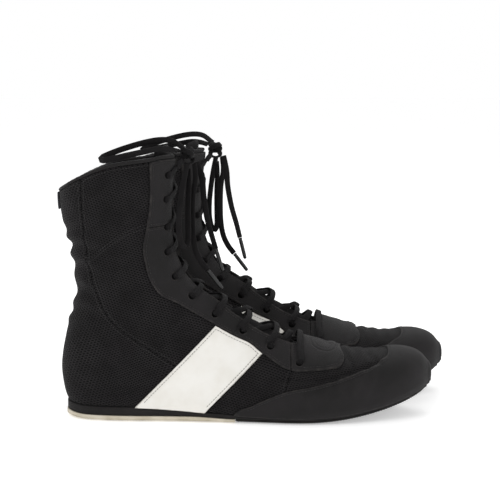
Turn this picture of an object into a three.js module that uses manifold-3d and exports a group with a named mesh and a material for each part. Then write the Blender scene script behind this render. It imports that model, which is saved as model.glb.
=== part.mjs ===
// A pair of high lace-up boxing boots: right boot at -Y, left boot its mirror image at +Y, toes towards +X, soles on Z = 0.
// Millimetres. Every layer of a boot is an offset of one lofted surface, so neighbouring layers keep an even gap.
import * as THREE from "three";
import { mergeVertices } from "three/addons/utils/BufferGeometryUtils.js";
import Module from "manifold-3d";

const wasm = await Module();
wasm.setup();

// Driving dimensions
const bootLength = 285; // heel to toe tip
const shaftHeight = 197; // floor to the top of the facings
const ballWidth = 97; // widest place of the upper
const pairSpacing = 108; // centre line to centre line
const leftAhead = 19; // how far the left boot stands in front
const toeSpringStart = 185; // where the sole starts to curl up
const toeSpringRise = 20;
const heelStack = 10.8; // height of the upper's lower edge above the ground, at the heel
const foreStack = 5; // the same under the ball
const heelRubber = 3.8; // pale rubber sole
const foreRubber = 2.6;
const upperThickness = 2;
const overlayThickness = 1.5;
const liningThickness = 1.5;
const stiffenerThickness = 1.7;
const padding = 1.2; // between the stiffeners and the lining
const boardThickness = 2;
const insoleThickness = 4;
const gap = 0.3; // clearance between pieces that touch
// Depths under the upper's outer face
const stiffenerTop = upperThickness + gap;
const stiffenerBottom = stiffenerTop + stiffenerThickness;
const liningDepth = stiffenerBottom + padding;
const tongueDepth = upperThickness + 4.2;
const bindingHeight = 2.8;
const tongueThickness = 2.2;
const tongueHalfWidth = 26;
const shaftGapHalf = 9.5; // half of the space between the facings, up the shaft
const vampGapHalf = 17; // and at its lower end
const throatFront = 184;
const laceWidth = 4.6;
const laceThickness = 1.7;
const laceRoundness = 8; // sides of the free ends' section
const eyeletRadius = 3.5;
const agletLength = 18;
const agletRadius = 1.6;
const midsoleFlare = 0.9; // how far the midsole stands out of the feather line
const heelRubberFlare = 1.4;
const foreRubberInset = 1.5;
const insoleInset = 8.6; // how far the insole lies inside the feather line
const boardInset = 7;

const designLength = 285;
const designHeight = 197;
const designWidth = 97;
const lengthScale = bootLength / designLength;
const heightScale = shaftHeight / designHeight;
const widthScale = ballWidth / designWidth;

// Ground line of the sole: flat, with a bevel at the heel and toe spring in front
function groundCurve(x) {
  const bevelEnd = 22 * lengthScale;
  const springStart = toeSpringStart * lengthScale;
  if (x < bevelEnd) return 3 * ((bevelEnd - x) / bevelEnd) ** 2;
  if (x > springStart) return toeSpringRise * ((x - springStart) / (bootLength - 2 - springStart)) ** 2;
  return 0;
}

// Sole lines run straight between these stations, so that stacked layers share their joints
const soleStations = [-20, 0, 5, 12, 22, 60, 100, 134, 165, 185, 200, 215, 230, 244, 256, 266, 275, 283, 320]
  .map((x) => x * lengthScale);
function alongStations(curve) {
  const heights = soleStations.map(curve);
  return (x) => {
    let i = 1;
    while (i + 1 < soleStations.length && soleStations[i] <= x) i++;
    const share = (x - soleStations[i - 1]) / (soleStations[i] - soleStations[i - 1]);
    return THREE.MathUtils.lerp(heights[i - 1], heights[i], share);
  };
}
const groundHeight = alongStations(groundCurve);
// Lower edge of the upper, where it meets the midsole
const featherHeight = alongStations((x) => groundCurve(x)
  + THREE.MathUtils.lerp(heelStack, foreStack, THREE.MathUtils.smoothstep(x, 45 * lengthScale, 165 * lengthScale)));

// Ribs of the loft, collar to toe. Each stands in the plane through its back (or sole) point, its front (or top)
// point and the Y direction: back x, back z, front x, front z, half width, shift to the medial side, level of the
// widest place, fullness above it, fullness below it. A sole point's height is 0: it follows the ground line.
const ribTable = [
  [1, 184, 90, 216, 39, 0, 0.5, 2.1, 2.2],
  [1, 169, 89, 201, 38.5, 0, 0.5, 2.1, 2.2],
  [3, 152, 87, 181, 37.5, 0, 0.5, 2.1, 2.2],
  [6.5, 138, 85.5, 162, 36.5, 0, 0.5, 2.1, 2.2],
  [9.5, 123, 85.5, 146, 35.5, 0, 0.5, 2.1, 2.2],
  [11.5, 109, 88, 130, 34.5, 0, 0.5, 2.05, 2.2],
  [12.5, 95, 93.5, 116.5, 34, 0, 0.5, 2, 2.2],
  [9, 83, 100.5, 106, 34, 0, 0.5, 1.9, 2.2],
  [5, 67, 109, 99.3, 34, 0, 0.5, 1.85, 2.2],
  [1.5, 50, 118.5, 94.5, 33.5, 0, 0.5, 1.8, 2.3],
  [0.8, 33, 128, 90, 33, 0, 0.48, 1.8, 2.3],
  [4.5, 15, 137, 85.3, 32.5, 0, 0.45, 1.8, 2.5],
  [14, 5.5, 147, 80, 32, 0, 0.45, 1.8, 3.2],
  [40, 4, 158, 73.8, 32, 0, 0.4, 1.8, 4.5],
  [75, 4, 169, 67.5, 32.5, 0, 0.38, 1.85, 5.5],
  [110, 3.5, 181, 61.5, 36, 0, 0.35, 1.9, 6],
  [145, 0, 195, 57, 42.5, 1, 0.35, 2, 6],
  [180, 0, 211, 53, 48.5, 2, 0.35, 2.1, 6],
  [212, 0, 230, 50, 47.5, 4, 0.36, 2.15, 6],
  [240, 0, 249, 49.2, 41.5, 6, 0.38, 2.2, 5.5],
  [260, 0, 264, 49, 33.5, 7, 0.4, 2.2, 4.5],
  [274, 0, 275.5, 45.5, 22.5, 8, 0.42, 2.2, 3.5],
  [282, 0, 282.5, 38.5, 9.5, 8, 0.5, 2.2, 2.6],
];
const lastRib = ribTable.length - 1;
const soleLift = 1.5; // the upper's underside above the ground line, in the forefoot
const ribBacks = [];
const ribFronts = [];
const ribShapes = [];
for (const [bx, bz, fx, fz, half, shift, level, above, below] of ribTable) {
  const backX = bx * lengthScale;
  const backZ = bz > 0 ? bz * heightScale : groundHeight(backX) + soleLift;
  ribBacks.push(new THREE.Vector3(backX, backZ, half * widthScale));
  ribFronts.push(new THREE.Vector3(fx * lengthScale, fz * heightScale, shift * widthScale));
  ribShapes.push(new THREE.Vector3(level, above, below));
}
const backCurve = new THREE.CatmullRomCurve3(ribBacks, false, "catmullrom", 0.5);
const frontCurve = new THREE.CatmullRomCurve3(ribFronts, false, "catmullrom", 0.5);
const shapeCurve = new THREE.CatmullRomCurve3(ribShapes, false, "catmullrom", 0.5);

// A point of the upper's outer face. rib runs 0 at the collar to lastRib at the toe, angle 0 at the front or top,
// positive on the lateral side.
function surfacePoint(rib, angle) {
  const t = THREE.MathUtils.clamp(rib / lastRib, 0, 1);
  const back = backCurve.getPoint(t);
  const front = frontCurve.getPoint(t);
  const shape = shapeCurve.getPoint(t);
  const c = Math.cos(angle);
  const s = Math.sin(angle);
  const power = c >= 0 ? shape.y : shape.z;
  const reach = (Math.abs(c) ** power + Math.abs(s) ** power) ** (-1 / power);
  const level = shape.x + reach * c * (c >= 0 ? 1 - shape.x : shape.x);
  return new THREE.Vector3(
    THREE.MathUtils.lerp(back.x, front.x, level),
    front.z - back.z * reach * s,
    THREE.MathUtils.lerp(back.y, front.y, level),
  );
}

function surfaceFrame(rib, angle) {
  const d = 0.02;
  const at = surfacePoint(rib, angle);
  const high = Math.min(rib + d, lastRib);
  const low = Math.max(rib - d, 0);
  const along = surfacePoint(high, angle).sub(surfacePoint(low, angle));
  const around = surfacePoint(rib, angle + d).sub(surfacePoint(rib, angle - d));
  const normal = along.clone().cross(around).normalize();
  const t = rib / lastRib;
  const back = backCurve.getPoint(t);
  const front = frontCurve.getPoint(t);
  const centre = new THREE.Vector3((back.x + front.x) / 2, front.z, (back.y + front.y) / 2);
  if (normal.dot(at.clone().sub(centre)) < 0) normal.negate();
  return { at, normal, along: along.normalize(), perRadian: around.length() / (2 * d) };
}

function offsetPoint(rib, angle, height) {
  const { at, normal } = surfaceFrame(rib, angle);
  return at.addScaledVector(normal, height);
}

// Solids and cuts
function signedVolume(points, faces) {
  let sum = 0;
  for (const [a, b, c] of faces) sum += points[a].dot(points[b].clone().cross(points[c]));
  return sum;
}

function solidFrom(points, faces) {
  const out = signedVolume(points, faces) < 0 ? faces.map(([a, b, c]) => [a, c, b]) : faces;
  const vertProperties = new Float32Array(points.flatMap((p) => [p.x, p.y, p.z]));
  return new wasm.Manifold(new wasm.Mesh({ numProp: 3, vertProperties, triVerts: new Uint32Array(out.flat()) }));
}

function solidFromGeometry(geometry) {
  const plain = geometry.clone();
  plain.deleteAttribute("normal");
  plain.deleteAttribute("uv");
  const merged = mergeVertices(plain, 1e-4);
  const mesh = { numProp: 3, vertProperties: merged.attributes.position.array };
  return new wasm.Manifold(new wasm.Mesh({ ...mesh, triVerts: new Uint32Array(merged.index.array) }));
}

function geometryFrom(solid) {
  const mesh = solid.getMesh();
  const geometry = new THREE.BufferGeometry();
  const step = mesh.numProp;
  const positions = new Float32Array(mesh.numVert * 3);
  for (let i = 0; i < mesh.numVert; i++) positions.set(mesh.vertProperties.subarray(i * step, i * step + 3), i * 3);
  geometry.setAttribute("position", new THREE.BufferAttribute(positions, 3));
  geometry.setIndex(new THREE.BufferAttribute(mesh.triVerts, 1));
  geometry.computeVertexNormals();
  return geometry;
}

// Rings of equal count joined into one closed body, with flat ends
function loft(rings) {
  const points = rings.flat();
  const n = rings[0].length;
  const faces = [];
  for (let i = 0; i + 1 < rings.length; i++) {
    for (let j = 0; j < n; j++) {
      const k = (j + 1) % n;
      faces.push([i * n + j, i * n + k, (i + 1) * n + k], [i * n + j, (i + 1) * n + k, (i + 1) * n + j]);
    }
  }
  const end = (rings.length - 1) * n;
  for (let j = 1; j + 1 < n; j++) faces.push([0, j + 1, j], [end, end + j, end + j + 1]);
  return solidFrom(points, faces);
}

// A layer of the upper between two offsets, open at the collar and closed round the toe
const layerRibs = [0, 1.2, 3.5, 5.1, 6.3, 7.6, 8.8, 10, 11.2, 12.4, 14, 15.6, 17.4, 19.2, 20.7, lastRib];
const layerTurns = [0, 21, 42, 66, 93, 116, 133, 150];
const liningRibs = [0, 3, 6, 8.5, 10.8, 12.2, 13.6, 15.4, 17.4, 19.2, 20.7, 21.3];
const liningTurns = [0, 40, 75, 105, 130, 150];
function layer(outer, inner, ribs = layerRibs, turns = layerTurns) {
  const points = [];
  const faces = [];
  const rows = ribs.length;
  const half = turns.map(THREE.MathUtils.degToRad);
  const layerAngles = [...half, Math.PI, ...half.slice(1).reverse().map((a) => 2 * Math.PI - a)];
  const layerSides = layerAngles.length;
  const lastRow = ribs.at(-1);
  for (const height of [outer, inner]) {
    for (const rib of ribs) {
      for (const angle of layerAngles) points.push(offsetPoint(rib, angle, height));
    }
  }
  const tips = [outer, inner].map((height) => {
    const around = [0, 0.5, 1, 1.5].map((k) => offsetPoint(lastRow, k * Math.PI, height));
    const tip = around.reduce((sum, p) => sum.add(p), new THREE.Vector3()).divideScalar(4);
    tip.x += 0.8;
    points.push(tip);
    return points.length - 1;
  });
  const index = (side, row, j) => (side * rows + row) * layerSides + (j % layerSides);
  for (let j = 0; j < layerSides; j++) {
    for (let row = 0; row + 1 < rows; row++) {
      const [a, b, c, d] = [index(0, row, j), index(0, row, j + 1), index(0, row + 1, j + 1), index(0, row + 1, j)];
      faces.push([a, b, c], [a, c, d]);
      const [e, f, g, h] = [index(1, row, j), index(1, row, j + 1), index(1, row + 1, j + 1), index(1, row + 1, j)];
      faces.push([e, g, f], [e, h, g]);
    }
    faces.push([index(0, rows - 1, j), index(0, rows - 1, j + 1), tips[0]]);
    faces.push([index(1, rows - 1, j + 1), index(1, rows - 1, j), tips[1]]);
    faces.push([index(1, 0, j), index(1, 0, j + 1), index(0, 0, j + 1)]);
    faces.push([index(1, 0, j), index(0, 0, j + 1), index(0, 0, j)]);
  }
  return solidFrom(points, faces);
}

const onBoot = ([x, z]) => [x * lengthScale, z * heightScale];

// A side-view outline carried across the boot from yFrom to yTo
const sideReach = 90;
function sidePrism(outline, yFrom = -sideReach, yTo = sideReach) {
  const shape = new THREE.Shape(outline.map(([x, z]) => new THREE.Vector2(x, z)));
  const geometry = new THREE.ExtrudeGeometry(shape, { depth: yTo - yFrom, bevelEnabled: false });
  return solidFromGeometry(geometry.rotateX(Math.PI / 2).translate(0, yTo, 0));
}

function planPrism(outline, zFrom, zTo) {
  const shape = new THREE.Shape(outline.map(([x, y]) => new THREE.Vector2(x, y)));
  return solidFromGeometry(
    new THREE.ExtrudeGeometry(shape, { depth: zTo - zFrom, bevelEnabled: false }).translate(0, 0, zFrom),
  );
}

const shifted = (outline, dx, dz = 0) => outline.map(([x, z]) => [x + dx, z + dz]);

// Everything lower than the feather line, raised by lift
function belowFeather(lift) {
  const outline = [[soleStations.at(-1), -40], [soleStations[0], -40]];
  for (const x of soleStations) outline.push([x, featherHeight(x) + lift]);
  return sidePrism(outline);
}

// Collar rim in side view
const rimLine = [[-14, 163], [0, 171], [5, 174.5], [20, 183], [41.5, 191], [70.7, 195], [83, 197],
  [130, 198]].map(onBoot);
const aboveRim = (lift) => sidePrism([...shifted(rimLine, 0, lift), [130 * lengthScale, 300],
  [-14 * lengthScale, 300]]);
const belowRim = (lift) => sidePrism([...shifted(rimLine, 0, lift), [bootLength + 30, 198 * heightScale],
  [bootLength + 30, -60], [-14 * lengthScale, -60]]);

// The opening between the facings, for a piece that stops at the given half widths
function throat({ shaftHalf, vampHalf, front, shaftFrom, footFrom }) {
  const shaft = [[52, shaftFrom], [52, 260], [150, 260], [150, shaftFrom]].map(onBoot);
  const foot = [[95, shaftHalf], [front, vampHalf], [front, -vampHalf], [95, -shaftHalf]];
  return sidePrism(shaft, -shaftHalf, shaftHalf).add(
    planPrism(foot.map(([x, y]) => [x * lengthScale, y]), footFrom * heightScale, 140 * heightScale),
  );
}
const facingGap = throat({ shaftHalf: shaftGapHalf, vampHalf: vampGapHalf, front: throatFront, shaftFrom: 91,
  footFrom: 38 });
const tongueSpace = throat({ shaftHalf: tongueHalfWidth + 4, vampHalf: tongueHalfWidth + 4, front: throatFront + 16,
  shaftFrom: 58, footFrom: 24 });

// Seams of the base upper
const backSeam = [[19.9, 240], [19.9, 167.7], [20.6, 153], [22, 135], [24.4, 118], [28, 104], [33.4, 89.4],
  [41, 77], [50, 68.5], [62, 60], [76, 51], [90, 41], [101, 28], [106, 12], [108, -40]].map(onBoot);
const vampSeam = [[183.4, 240], [183.4, 75], [183, 60], [180, 45], [172, 25], [165, -40]].map(onBoot);
const halfGap = 0.25;
const backZone = sidePrism([...shifted(backSeam, -halfGap), [-30, -40], [-30, 240]]);
const quarterZone = sidePrism([...shifted(backSeam, halfGap), ...shifted(vampSeam, -halfGap).reverse()]);
const vampZone = sidePrism([...shifted(vampSeam, halfGap), [bootLength + 30, -40], [bootLength + 30, 240]]);

// Outlines of the overlays
const eyestayEdge = [[70.5, 210], [70.5, 170], [68.3, 149], [65.6, 131], [67.5, 117.6], [70.5, 107], [78, 95.8],
  [90.6, 89], [111.8, 76.3], [123.1, 69.5], [134, 63.5], [145.6, 58.2], [154.2, 51.5], [165.1, 44], [172.6, 40.2],
  [176, 39.3]].map(onBoot);
const eyestayZone = sidePrism([...eyestayEdge, ...[[176, 120], [130, 120], [130, 210]].map(onBoot)]);
const tabZone = sidePrism([[176.4, 39.2], [183.1, 38.7], [205.7, 40.6], [213.9, 43.2], [216.5, 48.1], [213, 56],
  [204, 70], [176.4, 90]].map(onBoot));
const randZone = sidePrism([[118, -40], [132.2, 4.6], [147.1, 13.5], [170.2, 23.6], [191.1, 28.4], [209.7, 32.9],
  [223.1, 36.9], [235, 40.3], [243.2, 44.1], [252.5, 50.4], [258, 80], [320, 80], [320, -40]].map(onBoot));
const bandRear = 48; // the band's two edges run at 45 degrees, this far along the ground line
const bandFront = 104;
const bandZone = sidePrism([[bandRear - 20, -20], [bandFront - 20, -20], [bandFront + 60, 60], [bandFront + 60, 90],
  [bandRear + 90, 90]].map(onBoot)).subtract(sidePrism([...shifted(eyestayEdge, -0.5, -0.6),
  ...[[200, 39], [200, 210]].map(onBoot)]));
const pullTabZone = sidePrism([[-30, 159], [10, 159], [10, 240], [-30, 240]].map(onBoot), -6, 6);

// Feather outline in plan, from the loft
function featherOutline() {
  const sides = [1, -1].map((side) => {
    const line = [];
    for (let i = 0; i <= 120; i++) {
      const rib = 10.4 + (i / 120) * (lastRib - 10.4);
      let low = Math.PI / 2;
      let high = Math.PI;
      const above = (angle) => {
        const p = surfacePoint(rib, side * angle);
        return p.z - featherHeight(p.x);
      };
      if (above(high) > 0) continue;
      for (let n = 0; n < 30; n++) {
        const mid = (low + high) / 2;
        if (above(mid) > 0) low = mid;
        else high = mid;
      }
      const p = surfacePoint(rib, side * low);
      line.push([p.x, p.y]);
    }
    return line;
  });
  return [...sides[0], ...sides[1].reverse()];
}
const feather = featherOutline();

function insetOutline(outline, inset) {
  return outline.map(([x, y], i) => {
    const [ax, ay] = outline[(i + outline.length - 1) % outline.length];
    const [bx, by] = outline[(i + 1) % outline.length];
    const size = Math.hypot(bx - ax, by - ay) || 1;
    return [x - ((by - ay) / size) * inset, y + ((bx - ax) / size) * inset];
  });
}

function spanAt(outline, x) {
  const crossings = outline.flatMap(([ax, ay], i) => {
    const [bx, by] = outline[(i + 1) % outline.length];
    return (ax - x) * (bx - x) < 0 ? [ay + ((x - ax) / (bx - ax)) * (by - ay)] : [];
  });
  return [Math.min(...crossings), Math.max(...crossings)];
}

// A layer of the sole between two heights, cut to the feather outline drawn in by inset
function soleSlab({ inset, from = -Infinity, to = Infinity, top, bottom }) {
  const outline = insetOutline(feather, inset);
  const xs = outline.map(([x]) => x);
  const start = Math.max(from, Math.min(...xs) + 0.2);
  const end = Math.min(to, Math.max(...xs) - 0.2);
  const rings = [];
  const roundEnds = [0, 0.6, 2, 5].flatMap((d) => [start + d, end - d]);
  const between = soleStations.filter((x) => x > start + 0.5 && x < end - 0.5);
  for (const x of [...roundEnds, ...between].sort((a, b) => a - b)) {
    const [low, high] = spanAt(outline, x);
    rings.push([
      new THREE.Vector3(x, low, bottom(x)),
      new THREE.Vector3(x, high, bottom(x)),
      new THREE.Vector3(x, high, top(x)),
      new THREE.Vector3(x, low, top(x)),
    ]);
  }
  return loft(rings);
}

// Eyelets: side-view places on the facings, lowest row first
const eyeletPlaces = [[182.6, 43.8], [160.7, 54.8], [139.6, 66.7], [118.4, 79.6], [100.6, 93.2], [87.5, 108.5],
  [81.6, 127], [81, 146.1], [80.4, 167.3], [82, 185.5]].map(onBoot);
function nearestOnSide([x, z]) {
  let best = { rib: 8, angle: 0.6, miss: Infinity };
  for (const step of [1, 0.25, 0.06, 0.015, 0.004]) {
    const centre = { ...best };
    for (let i = -12; i <= 12; i++) {
      for (let j = -12; j <= 12; j++) {
        const rib = THREE.MathUtils.clamp(centre.rib + i * step, 0.2, lastRib - 1);
        const angle = THREE.MathUtils.clamp(centre.angle + j * step * 0.12, 0.08, 1.5);
        const p = surfacePoint(rib, angle);
        const miss = Math.hypot(p.x - x, p.z - z);
        if (miss < best.miss) best = { rib, angle, miss };
      }
    }
  }
  return best;
}
const eyelets = eyeletPlaces.map(nearestOnSide);

function eyeletPunch({ rib, angle }, side) {
  const { at, normal } = surfaceFrame(rib, side * angle);
  const punch = new THREE.CylinderGeometry(eyeletRadius, eyeletRadius, 14, 6);
  punch.applyQuaternion(new THREE.Quaternion().setFromUnitVectors(new THREE.Vector3(0, 1, 0), normal));
  return solidFromGeometry(punch.translate(at.x, at.y, at.z));
}
const punches = [1, -1].map((side) => eyelets.map((e) => eyeletPunch(e, side)).reduce((all, p) => all.add(p)));

// Angle at which the surface is a given distance from the centre line
function angleAt(rib, halfWidth) {
  let low = 0;
  let high = Math.PI / 2;
  const centre = surfacePoint(rib, 0).y;
  for (let n = 0; n < 30; n++) {
    const mid = (low + high) / 2;
    if (centre - surfacePoint(rib, mid).y < halfWidth) low = mid;
    else high = mid;
  }
  return low;
}

// Tongue: a padded strip under the facings, its lower end stitched under the vamp
const tongueTopRib = 0.62;
const tongueFrontRib = 16;
function tongueSolid() {
  const rings = [];
  const columns = 6;
  const rows = 14;
  for (let i = 0; i <= rows; i++) {
    const rib = tongueTopRib + (i / rows) * (tongueFrontRib - tongueTopRib);
    const limit = angleAt(rib, tongueHalfWidth);
    const upper = [];
    const lower = [];
    for (let j = 0; j <= columns; j++) {
      const angle = limit * ((2 * j) / columns - 1);
      const x = surfacePoint(rib, angle).x;
      const rise = THREE.MathUtils.smoothstep(x, (throatFront + 3) * lengthScale, (throatFront + 8) * lengthScale);
      const outer = -THREE.MathUtils.lerp(tongueDepth, upperThickness + 1.1, rise);
      upper.push(offsetPoint(rib, angle, outer));
      lower.push(offsetPoint(rib, angle, outer - tongueThickness));
    }
    rings.push([...upper, ...lower.reverse()]);
  }
  return loft(rings);
}

// Lace run: one strip from the knot, down through every pair of eyelets and back up
const laceOver = gap + overlayThickness + gap + laceThickness / 2 + 1.1;
const laceUnder = -(upperThickness + 1.2 + laceThickness / 2);
const lowCross = -1.4;
const throatHalfAt = (x) => THREE.MathUtils.lerp(shaftGapHalf, vampGapHalf,
  THREE.MathUtils.clamp((x / lengthScale - 100) / (throatFront - 100), 0, 1));
function throughEyelet(eyelet, side, upwards) {
  const { perRadian } = surfaceFrame(eyelet.rib, side * eyelet.angle);
  const inward = (mm) => side * (eyelet.angle - mm / perRadian);
  const steps = [[3, laceUnder], [0.3, laceUnder + 0.4], [0.3, laceOver - 0.4], [3, laceOver]];
  const way = steps.map(([mm, height]) => ({ rib: eyelet.rib, angle: inward(mm), height }));
  return upwards ? way : way.reverse();
}
function ribAtX(x, angle) {
  let low = 6;
  let high = lastRib;
  for (let n = 0; n < 30; n++) {
    const mid = (low + high) / 2;
    if (surfacePoint(mid, angle).x < x) low = mid;
    else high = mid;
  }
  return low;
}
const lowRowX = eyeletPlaces[0][0];
function strand(side, crossHeight) {
  const way = throughEyelet(eyelets[0], side, false);
  for (let k = 0; k + 1 < eyelets.length; k++) {
    const here = side * (k % 2 ? -1 : 1);
    const from = k ? eyelets[k].rib : ribAtX(lowRowX - 4, 0);
    const to = eyelets[k + 1].rib;
    const place = (share, part, height) => {
      const rib = THREE.MathUtils.lerp(from, to, share);
      const edge = angleAt(rib, throatHalfAt(surfacePoint(rib, 0).x));
      return { rib, angle: here * part * edge, height };
    };
    const firstHeight = k === 0 ? laceUnder : laceOver;
    if (k < 4) way.push(place(0.1, 1.3, firstHeight));
    way.push(place(0.2, 0.85, firstHeight), place(0.36, 0.4, (firstHeight + crossHeight) / 2));
    way.push(place(0.5, 0, crossHeight), place(0.64, -0.4, (laceUnder + crossHeight) / 2));
    way.push(place(0.8, -0.85, laceUnder));
    if (k < 4) way.push(place(0.9, -1.3, laceUnder));
    way.push(...throughEyelet(eyelets[k + 1], -here, true));
  }
  return way;
}
const knotCentre = new THREE.Vector3(97.5 * lengthScale, 0, 199.5 * heightScale);
const knotSize = new THREE.Vector3(7, 9, 8);
const knotSeat = 0.9; // where the run's ends meet the knot, as a share of its half width
function laceRun() {
  const first = strand(1, lowCross).reverse();
  const bar = [0.7, 0.4, 0, -0.4, -0.7].map((share) => ({
    rib: ribAtX(lowRowX, share * eyelets[0].angle),
    angle: share * eyelets[0].angle,
    height: laceOver + 0.3,
  }));
  const second = strand(-1, lowCross + laceThickness + 0.4);
  const places = [...first, ...bar, ...second].map(({ rib, angle, height }) => {
    const frame = surfaceFrame(rib, angle);
    return { at: frame.at.addScaledVector(frame.normal, height), across: frame.along };
  });
  const toKnot = (place, side) => {
    const at = new THREE.Vector3(knotCentre.x - 3.2, side * knotSize.y * knotSeat, knotCentre.z - 4);
    return { at, across: new THREE.Vector3(0, 0, 1) };
  };
  const lastSide = Math.sign(places[0].at.y);
  const way = [toKnot(places[0], lastSide), ...places, toKnot(places.at(-1), -lastSide)];
  const rings = way.map(({ at, across }, i) => {
    const before = way[Math.max(i - 1, 0)].at;
    const after = way[Math.min(i + 1, way.length - 1)].at;
    const tangent = after.clone().sub(before).normalize();
    const wide = across.clone().addScaledVector(tangent, -across.dot(tangent)).normalize();
    const thick = wide.clone().cross(tangent).normalize();
    const corner = (w, t) => at.clone().addScaledVector(wide, (w * laceWidth) / 2)
      .addScaledVector(thick, (t * laceThickness) / 2);
    return [corner(-1, -1), corner(1, -1), corner(1, 1), corner(-1, 1)];
  });
  return loft(rings);
}

// Free ends of the lace: plain tubes along chosen points (x, y towards the medial side, z), from the knot outwards
const vectors = (list) => list.map(([x, y, z]) => new THREE.Vector3(x * lengthScale, y, z * heightScale));
function freeCord(list) {
  const curve = new THREE.CatmullRomCurve3(vectors(list), false, "centripetal");
  const section = new THREE.Shape();
  for (let i = 0; i < laceRoundness; i++) {
    const a = (i / laceRoundness) * 2 * Math.PI;
    const point = [(Math.cos(a) * laceWidth) / 2, (Math.sin(a) * laceWidth) / 2];
    if (i) section.lineTo(...point);
    else section.moveTo(...point);
  }
  const steps = Math.ceil(curve.getLength() / (laceWidth * 2.4));
  return solidFromGeometry(new THREE.ExtrudeGeometry(section, { extrudePath: curve, steps, bevelEnabled: false }));
}
function agletOn(list) {
  const [before, end] = vectors(list).slice(-2);
  const direction = end.clone().sub(before).normalize();
  const aglet = new THREE.CylinderGeometry(agletRadius, agletRadius, agletLength, 8);
  aglet.applyQuaternion(new THREE.Quaternion().setFromUnitVectors(new THREE.Vector3(0, 1, 0), direction));
  const centre = end.addScaledVector(direction, agletLength / 2 + gap);
  return solidFromGeometry(aglet.translate(centre.x, centre.y, centre.z));
}
const backLoop = [[94.9, -7.4, 205], [87, -14, 210.5], [78, -17, 211.5], [66, -20, 209.5], [52, -24, 205.5],
  [41, -28, 201.5], [35, -33, 198.5], [37, -37.5, 197], [46, -37.5, 198.8], [56, -34, 201], [66, -30, 203],
  [77, -25, 205], [85, -19.5, 204.5], [91, -13, 203]];
const frontLoop = [[97.9, -7.8, 192.7], [95.5, -15, 181], [93.5, -19, 168], [92, -21.5, 154], [92, -22, 142],
  [94, -20.5, 133], [97, -17, 131], [98.5, -13.5, 136], [98.5, -12, 148], [98.5, -11, 163], [99, -8, 178],
  [98.5, -5, 189]];
const lateralTail = [[103.1, -4, 193.1], [104, -5, 182], [102, -6, 168], [101.5, -6.5, 152], [102, -7, 138],
  [104, -7, 127], [108, -6.5, 118.5], [113, -6, 112]];
const tails = {
  right: [[104.4, 2, 194.2], [108.5, 4, 182], [110, 5, 166], [112.5, 6, 150], [116, 6.5, 137], [119, 7, 127]],
  left: [[104.4, 2, 194.2], [107, 5, 182], [108, 8, 169], [111, 10, 153], [115, 11, 139], [118, 11, 127]],
};

// Materials
const finish = (color, roughness) => new THREE.MeshStandardMaterial({ color, roughness, metalness: 0 });
const materials = {
  mesh: finish(0x1c1a1a, 0.9),
  suede: finish(0x242222, 0.85),
  white: finish(0xe8e6e2, 0.55),
  paleRubber: finish(0xe0d9c4, 0.6),
  blackRubber: finish(0x1e1d1d, 0.7),
  foam: finish(0x2a2828, 0.75),
  board: finish(0xb7a78c, 0.9),
  lining: finish(0x2b2322, 0.95),
  cord: finish(0x161515, 0.8),
  tip: finish(0x101010, 0.25),
  webbing: finish(0x55555a, 0.8),
};

// One boot, right-handed: lateral side at -Y
const boardTop = (x) => featherHeight(x) + boardThickness;
const insoleTop = (x) => boardTop(x) + gap + insoleThickness;
const below = (x) => featherHeight(x) - 9;
const featherCut = belowFeather(0);
const boardSpace = soleSlab({ inset: boardInset - gap, bottom: below, top: (x) => boardTop(x) + gap });
const insoleSpace = soleSlab({ inset: insoleInset - 1.5 * gap, bottom: below,
  top: (x) => insoleTop(x) + 2 * gap });
const insideCut = belowFeather(boardThickness + gap).add(insoleSpace);
const trimmed = (solid) => solid.subtract(aboveRim(0)).subtract(featherCut);
const upper = trimmed(layer(0, -upperThickness)).subtract(facingGap)
  .subtract(boardSpace).subtract(insoleSpace);
const overlayFull = trimmed(layer(gap + overlayThickness, gap)).subtract(boardSpace);
const overlay = overlayFull.subtract(facingGap);
const stiffener = layer(-stiffenerTop, -stiffenerBottom).subtract(insideCut);
const liningTip = sidePrism([[274, -60], [274, 90], [330, 90], [330, -60]].map(onBoot));
const lining = layer(-liningDepth, -liningDepth - liningThickness, liningRibs, liningTurns)
  .subtract(aboveRim(0)).subtract(insideCut).subtract(tongueSpace).subtract(liningTip);
const wholeSide = [[-40, -60], [bootLength + 100, -60], [bootLength + 100, 320], [-40, 320]];
const lateral = sidePrism(wholeSide, -sideReach, -gap / 2);
const medial = sidePrism(wholeSide, gap / 2, sideReach);
const counterZone = sidePrism([[-40, -60], [62, -60], [56, 40], [38, 62], [-40, 68]].map(onBoot));
const puffZone = sidePrism([[232, -60], [238, 90], [330, 90], [330, -60]].map(onBoot));
const binding = layer(0.8, -upperThickness).subtract(facingGap)
  .add(layer(-upperThickness + 0.1, -liningDepth - liningThickness).subtract(tongueSpace))
  .subtract(aboveRim(gap + bindingHeight)).subtract(belowRim(gap));
const heelRubberEnd = 134 * lengthScale;
const midsoleBottom = alongStations((x) => groundCurve(x) + gap
  + THREE.MathUtils.lerp(heelRubber, foreRubber, THREE.MathUtils.smoothstep(x, 100 * lengthScale, heelRubberEnd)));

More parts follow.
